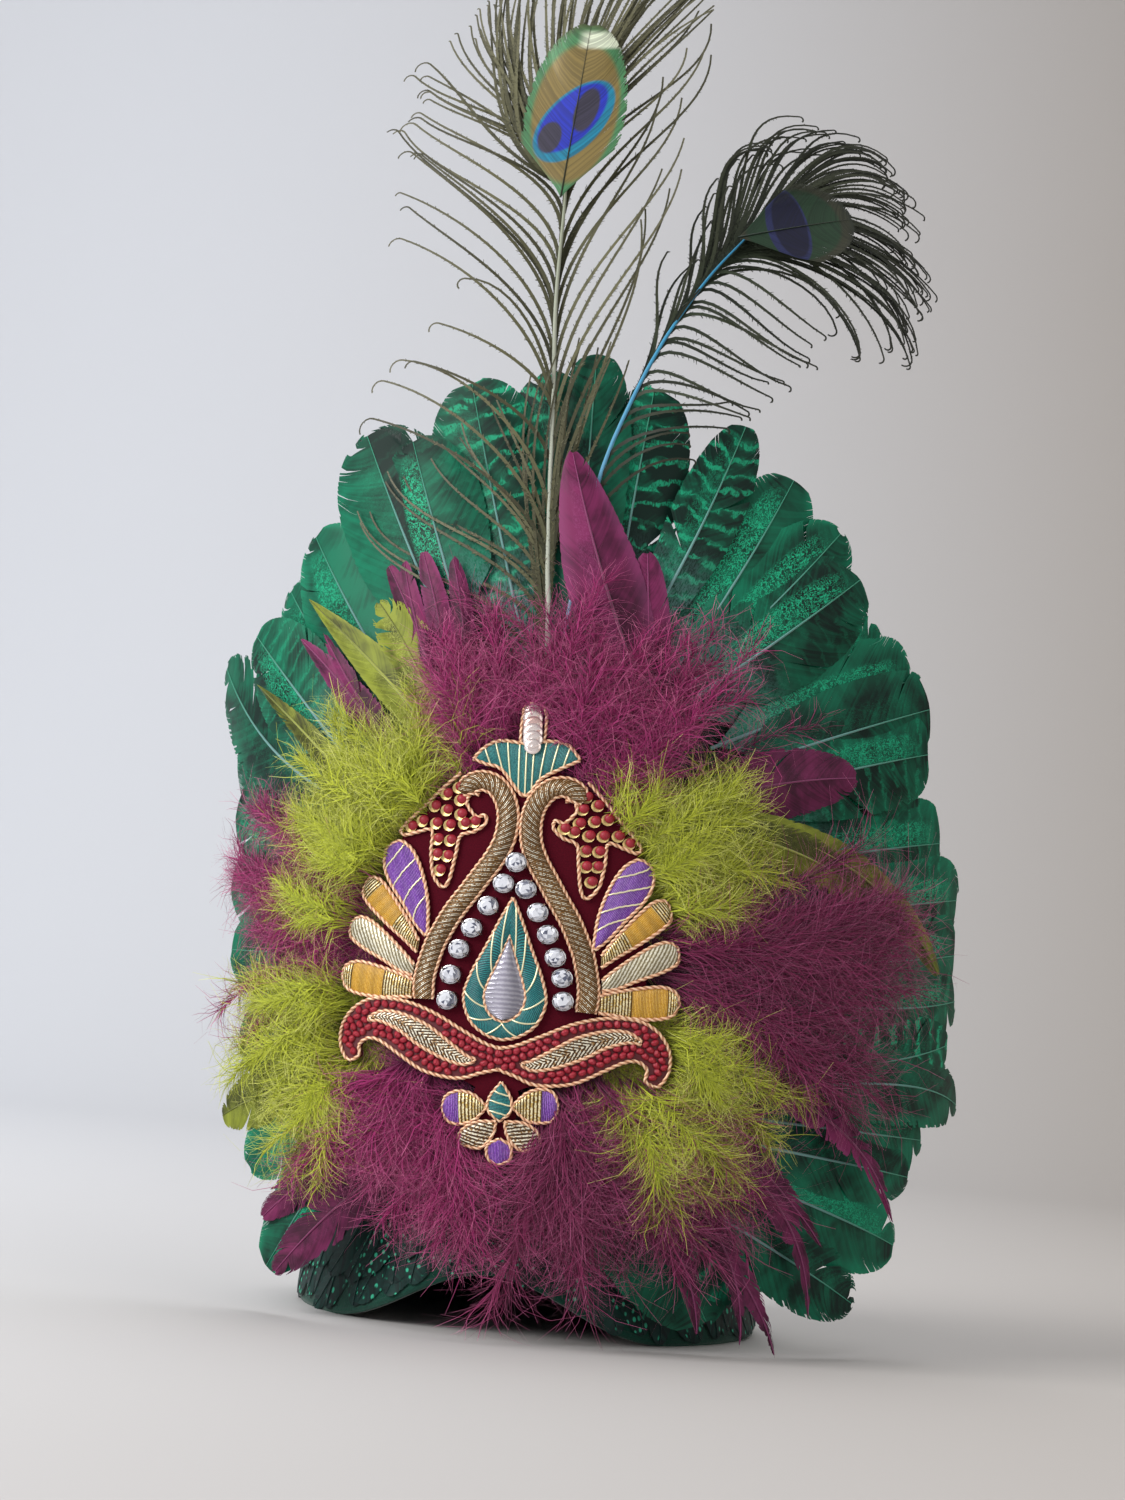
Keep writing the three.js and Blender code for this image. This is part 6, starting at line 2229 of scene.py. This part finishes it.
            # painted light: full colour and glints on the crests in the middle of the rope, painted shade
            # towards its edges
            painted_light = (0.3 + 0.7 * crest ** 3) * (1 - 0.5 * np.abs(columns[None, :]))
            sketch.sheet(SHIELD.lay(flat, off), self.slot("weave"),
                         place=vector3(run[:, None], side * width * 1000, tone),
                         trait=vector3(np.array(1.5), np.array(1.26), painted_light))
            for edge in (-1, 1):
                beside = line + aside * (edge * (half[:, None] + 0.0003))
                self.cord(sketch, even_line(beside), PATCH.face + 0.0004)
            report(sketch.build(self.materials), "gold_cord", [name])

    def red_scroll(self) -> None:
        """Build the red scroll: rows of knots round two gold insets, with a copper cord round it all."""
        sketch = Sketch("red_scroll_knots")
        face = PATCH.face + 0.0002
        rng = np.random.default_rng(41)
        for side in (-1, 1):
            shape = self.red_shape.mirrored() if side < 0 else self.red_shape
            flat = shape.fill(90, np.linspace(-1, 1, 9))
            self.plain(sketch, SHIELD.lay(flat, face), "red", 0.1, 0.0)
            for line in (flat[:, 0], flat[::-1, -1]):
                self.cord(sketch, even_line(line), face + 0.0002)
                self.skirt(sketch, line, face)
            middle = PATCH.flat([(side * a, u) for a, u, _ in self.paisley])
            inset = smooth_line(np.column_stack([middle, [half for _, _, half in self.paisley]]), 160)
            ahead = np.gradient(inset[:, :2], axis=0)
            aside = np.stack([ahead[:, 1], -ahead[:, 0]], 1) / np.linalg.norm(ahead, axis=1, keepdims=True)
            columns = np.linspace(-1, 1, 13)
            weave = inset[:, None, :2] + aside[:, None] * (inset[:, None, 2:] * columns[None, :, None])
            run = np.linspace(0, 38, 160)[:, None]
            width = columns[None, :] * inset[:, 2:] * 1000
            phase = run * 0.72 + 0.9 * np.abs(width)
            crest = np.sqrt(np.abs(np.sin(phase * np.pi)))
            off = face + 0.0009 * np.sqrt(1 - 0.9 * columns[None, :] ** 2) + 0.0002 * crest
            sketch.sheet(SHIELD.lay(weave, off), self.slot("weave"),
                         place=vector3(run, np.abs(width), 0.5 + 0.5 * np.sin(12.9 * np.floor(phase))),
                         trait=np.array([0.72, 0.9, 1.0]))
            ring = np.vstack([weave[:, 0], weave[::-1, -1], weave[:1, 0]])
            self.cord(sketch, even_line(ring), face + 0.0005)
            self.knots(sketch, shape, inset, face, rng)
        report(sketch.build(self.materials), "red_silk", ["red_scroll"])

    def knots(self, sketch: Sketch, shape: Shape, inset: Array, face: float,
              rng: np.random.Generator) -> None:
        """Set red knots over a shape, clear of its gold inset.

        Args:
            sketch: Piece that takes the knots.
            shape: Outline of the scroll.
            inset: Middle line and half width of the inset, in metres.
            face: Height of the scroll's face.
            rng: Source of their unevenness.
        """
        gap = 0.0022
        grid = shape.fill(400, np.linspace(-1, 1, 41))
        taken: list[Array] = []
        away = np.linalg.norm(grid[:, :, None] - inset[None, None, ::4, :2], axis=-1)
        clear = np.min(away - inset[::4, 2], axis=-1)
        rim = shape.edge(0.0012)
        sides = np.min(np.linalg.norm(grid[:, :, None] - rim[None, None], axis=-1), axis=-1)
        sides = np.where(within(grid, rim), sides, -1.0)
        for row in range(0, 400, 3):
            for column in range(0, 41, 2):
                spot = grid[row, column]
                if clear[row, column] < 0.0013 or sides[row, column] < 0.0015:
                    continue
                if taken and np.min(np.linalg.norm(np.array(taken[-60:]) - spot, axis=1)) < gap:
                    continue
                taken.append(spot)
        turn = np.linspace(0, 2 * np.pi, 11)
        rise = np.linspace(0, np.pi / 2, 4)
        for spot in taken:
            lean = rng.uniform(0, np.pi)
            lobes = 1 + 0.16 * np.cos(2 * (turn - lean))
            radius = 0.0013 * np.cos(rise)[:, None] * lobes
            off = face + 0.0011 * np.sin(rise)[:, None] - 0.00012 * np.cos(3 * turn + lean)[None]
            # painted shade and light: each knot is lighter on its top and darker towards its base
            tone = vector3(np.array(0.0), np.array(0.0), 0.1 + 0.9 * np.sin(rise)[:, None] ** 2 + 0 * turn)
            sketch.sheet(SHIELD.ring(spot, radius, turn, off), self.slot("red"), place=tone, trait=tone)

    def drop_line(self, drop: Triple, count: int) -> Array:
        """Right side of a drop from its top to its foot, in metres."""
        top, foot, half = drop
        widths = smooth_line([(0, 0), *self.drop_widths[1:-1], (1, 0)], count)
        widths[:, 1] = np.maximum(widths[:, 1], 0)
        return np.stack(PATCH.spot(widths[:, 1] * half, top + (foot - top) * widths[:, 0]), 1)

    def teal(self, middle: float, face: float) -> None:
        """Build the teal ring with its slanting gold lines, between two cords."""
        sketch = Sketch("teal_drop_satin")
        outer, inner = (self.drop_line(drop, 90) for drop in (self.teal_drop, self.silver_drop))
        inner = inner + (inner - np.mean(inner, axis=0)) * 0.06
        share = np.linspace(0.03, 0.97, 13)[None, :, None]
        run = np.linspace(0, 46, 90)[:, None]
        off = face + 0.0016 * np.sqrt(1 - (2 * share[..., 0] - 1) ** 2) + 0 * run
        for side in (-1, 1):
            flat = outer[:, None] * (1 - share) + inner[:, None] * share
            flat = flat * np.array([side, 1.0]) + np.array([middle, 0.0])
            sketch.sheet(SHIELD.lay(flat, off), self.slot("teal"),
                         place=vector3(run, side * share[..., 0] * 6, np.array(0.5)),
                         trait=np.array([1.4, side * 1.2, 0.6]))
            for start in np.linspace(10, 82, 6):
                rows = np.clip(start + np.linspace(-5, 7, 13), 0, 89).astype(int)
                columns = np.arange(13)
                self.gold_line(sketch, SHIELD.lay(flat[rows, columns], off[rows, columns] + 0.00008))
        for line in (outer, inner):
            ring = np.vstack([line, (line * np.array([-1.0, 1.0]))[::-1]]) + np.array([middle, 0.0])
            self.cord(sketch, even_line(np.vstack([ring, ring[:1]])), face + 0.0003)
        report(sketch.build(self.materials), "teal_silk", ["teal_drop"])

    def silver(self, middle: float, face: float) -> None:
        """Build the silver drop inside the teal ring, with a painted highlight in a band left of its middle.
        """
        sketch = Sketch("silver_drop_strips")
        columns = np.linspace(-1, 1, 17)[None, :]
        dense = self.drop_line(self.silver_drop, 240)
        run = np.linspace(0, 27, 240)[:, None]
        strip = np.mod(run * 0.78 + 0.12 * np.sin(9 * columns), 1.0)
        # painted highlight: a bright vertical band left of the middle, darker towards the sides
        painted_highlight = np.clip(2.2 - 3.6 * np.abs(columns + 0.28), -0.5, 2.0)
        off = face + 0.0004 + 0.0012 * np.sqrt(1 - 0.97 * columns ** 2)
        off = off + 0.00006 * strip * (1 - 0.4 * columns ** 2)
        points = SHIELD.place(middle + dense[:, :1] * columns, dense[:, 1:], off)
        sketch.sheet(points, self.slot("silver"), place=vector3(run, 3 * columns, painted_highlight),
                     trait=np.array([0.78, 0.0, 0.3]))
        report(sketch.build(self.materials), "silver_plate", ["silver_drop"])

    def stones(self) -> None:
        """Build each stone: a faceted crown of glass over foil, in a silver cup with four claws."""
        cup, _, shader = start_material("Silver cup", Metallic=0.95, Roughness=0.25)
        shader.inputs["Base Color"].default_value = srgb(190, 188, 192)
        finishes = [StoneFinish("Clear stone").material(), cup]
        for k, (a, u) in enumerate(self.stone_places):
            sketch = Sketch(f"rhinestone_{k + 1:02d}_cut")
            self.stone(sketch, PATCH.spot(a, u), np.random.default_rng(700 + k))
            report(sketch.build(finishes, smooth=False), "crystal", [f"rhinestone_{k + 1:02d}"])

    def stone(self, sketch: Sketch, middle: Pair, rng: np.random.Generator) -> None:
        """Add one stone with its cup.

        Args:
            sketch: Piece that takes it.
            middle: Across and height of its middle.
            rng: Source of its turn and of its facets' painted reflections.
        """
        spin = rng.uniform(0, 0.4)
        base = PATCH.face + 0.0004
        radius = self.stone_radius
        for (r1, h1, t1), (r2, h2, t2) in zip(self.stone_rings[:-1], self.stone_rings[1:]):
            for i in range(8):
                angle = spin + np.array([i, i + 1]) / 8 * 2 * np.pi
                low = SHIELD.ring(middle, r1 * radius, angle + t1, base + h1)
                high = SHIELD.ring(middle, r2 * radius, angle + t2, base + h2)
                # each facet's painted reflection, from grey to white
                sketch.sheet(np.stack([low, high]), place=np.array([0.0, 0.0, rng.uniform(0, 1)]))
        round_it = np.arange(17) / 16 * 2 * np.pi
        for (r1, h1), (r2, h2) in zip(self.cup_rings[:-1], self.cup_rings[1:]):
            low = SHIELD.ring(middle, r1 * radius, round_it, base + h1)
            high = SHIELD.ring(middle, r2 * radius, round_it, base + h2)
            sketch.sheet(np.stack([low, high]), 1)
        reach, rise = np.array(self.claw).T
        for i in range(4):
            line = SHIELD.ring(middle, reach * radius, np.full(4, spin + 0.4 + i * np.pi / 2), base + rise)
            tube(sketch, smooth_line(line, 10), 0.00032 * np.linspace(1.2, 0.7, 10), 6, 1)

    def build(self) -> None:
        """Build the ground with its motifs, then the scrolls, drops and stones."""
        self.materials.extend([self.velvet(), *(finish.material() for finish in self.finishes)])
        sketch = Sketch("patch_ground_velvet")
        self.ground(sketch)
        self.petals(sketch)
        self.flower(sketch)
        self.leaf(sketch)
        self.clusters(sketch)
        report(sketch.build(self.materials), "velvet", ["patch_ground"])
        self.scrolls()
        self.red_scroll()
        drops = PATCH.spot(0.004, 0)[0], PATCH.face + 0.0003
        self.teal(*drops)
        self.silver(*drops)
        self.stones()


@dataclass(frozen=True)
class Studio:
    """Camera of the reference view, soft lamps, and a pale floor that sweeps up behind."""

    azimuth: float = 8.0
    distance: float = 1.2
    eye_height: float = 0.110
    aim_across: float = -0.00478
    aim_height: float = 0.2012
    roll: float = 5.0
    metres_per_pixel: float = 0.00036
    picture_height: int = 1500
    lamp_aim: Triple = (0.0, -0.05, 0.22)
    sweep_half: float = 5.0
    sweep_front: float = -4.0
    sweep_back: float = 1.3
    sweep_bend: float = 0.9
    sweep_top: float = 4.5

    def camera(self) -> None:
        """Place the camera."""
        turn = math.radians(self.azimuth)
        right = np.array([math.cos(turn), math.sin(turn), 0.0])
        eye = np.array([self.distance * math.sin(turn), -self.distance * math.cos(turn), self.eye_height])
        aim = right * self.aim_across + np.array([0, 0, self.aim_height])
        ahead = (aim - eye) / np.linalg.norm(aim - eye)
        level = np.cross(ahead, [0, 0, 1])
        level /= np.linalg.norm(level)
        rise = np.cross(level, ahead)
        lean = math.radians(self.roll)
        x_axis = level * math.cos(lean) + rise * math.sin(lean)
        y_axis = -level * math.sin(lean) + rise * math.cos(lean)
        matrix = np.eye(4)
        matrix[:3, :3] = np.stack([x_axis, y_axis, -ahead], 1)
        matrix[:3, 3] = eye + MIDDLE
        lens = bpy.data.cameras.new("view")
        lens.sensor_width = 36.0
        seen = self.metres_per_pixel * self.picture_height
        lens.lens = np.linalg.norm(aim - eye) / seen * lens.sensor_width
        lens.clip_start = 0.05
        camera = bpy.data.objects.new("view", lens)
        camera.matrix_world = Matrix(matrix.tolist())
        bpy.context.scene.collection.objects.link(camera)
        bpy.context.scene.camera = camera

    def lamp(self, name: str, spot: Triple, size: float, power: float, colour: Triple) -> None:
        """Add a square soft lamp that faces the middle of the headdress.

        Args:
            name: Name of the lamp.
            spot: Its place.
            size: Its side.
            power: Watts.
            colour: Its colour.
        """
        light = bpy.data.lights.new(name, "AREA")
        light.shape, light.size, light.energy, light.color = "SQUARE", size, power, colour
        lamp = bpy.data.objects.new(name, light)
        lamp.location = spot
        lamp.rotation_euler = (Vector(self.lamp_aim) - lamp.location).to_track_quat("-Z", "Y").to_euler()
        bpy.context.scene.collection.objects.link(lamp)

    def sweep(self) -> None:
        """Add the floor with its rounded rise into a back wall, with painted light: lighter and cooler on the
        left, darker and warmer on the right.
        """
        turn = np.linspace(0, np.pi / 2, 16)
        bend, back = self.sweep_bend, self.sweep_back
        y = np.concatenate([[self.sweep_front, 0.0], back + bend * np.sin(turn), [back + bend]])
        z = np.concatenate([[0.0, 0.0], bend * (1 - np.cos(turn)), [self.sweep_top]])
        x = np.linspace(-self.sweep_half, self.sweep_half, 21)
        sketch = Sketch("studio_sweep")
        sketch.sheet(vector3(x[None, :], y[:, None], z[:, None]))
        material, graph, shader = start_material("Studio paper", Roughness=0.95, Specular_IOR_Level=0.1)
        # painted light: the paper is painted lighter on the left and darker on the right
        aside, _, _ = graph.split(graph.add("NewGeometry").outputs["Position"])
        shade = graph.mix(graph.ramp(aside, -0.9, 0.9), srgb(230, 232, 237), srgb(160, 148, 134))
        graph.feed(shader.inputs["Base Color"], shade)
        sketch.build([material])

    def build(self) -> None:
        """Set up the whole studio."""
        self.camera()
        self.sweep()
        self.lamp("key", (-1.7, -1.5, 1.35), 1.5, 56.0, (1.0, 0.99, 0.975))
        self.lamp("fill", (1.6, -1.5, 0.8), 1.6, 9.0, (1.0, 0.95, 0.89))
        self.lamp("top", (0.1, 0.5, 2.0), 1.6, 20.0, (0.96, 0.98, 1.0))
        world = bpy.data.worlds.new("studio")
        world.use_nodes = True
        background = world.node_tree.nodes["Background"]
        background.inputs["Color"].default_value = (0.86, 0.88, 0.92, 1)
        background.inputs["Strength"].default_value = 0.42
        bpy.context.scene.world = world
        bpy.context.scene.view_settings.view_transform = "Standard"


def main() -> None:
    """Build the studio and every part of the headdress."""
    logging.basicConfig(level=logging.INFO, format="%(name)s: %(message)s")
    Studio().build()
    Band().build()
    Fan().build()
    Down().build()
    DyedFeathers().build()
    Peacock().build()
    Patch().build()


if __name__ == "__main__":
    main()
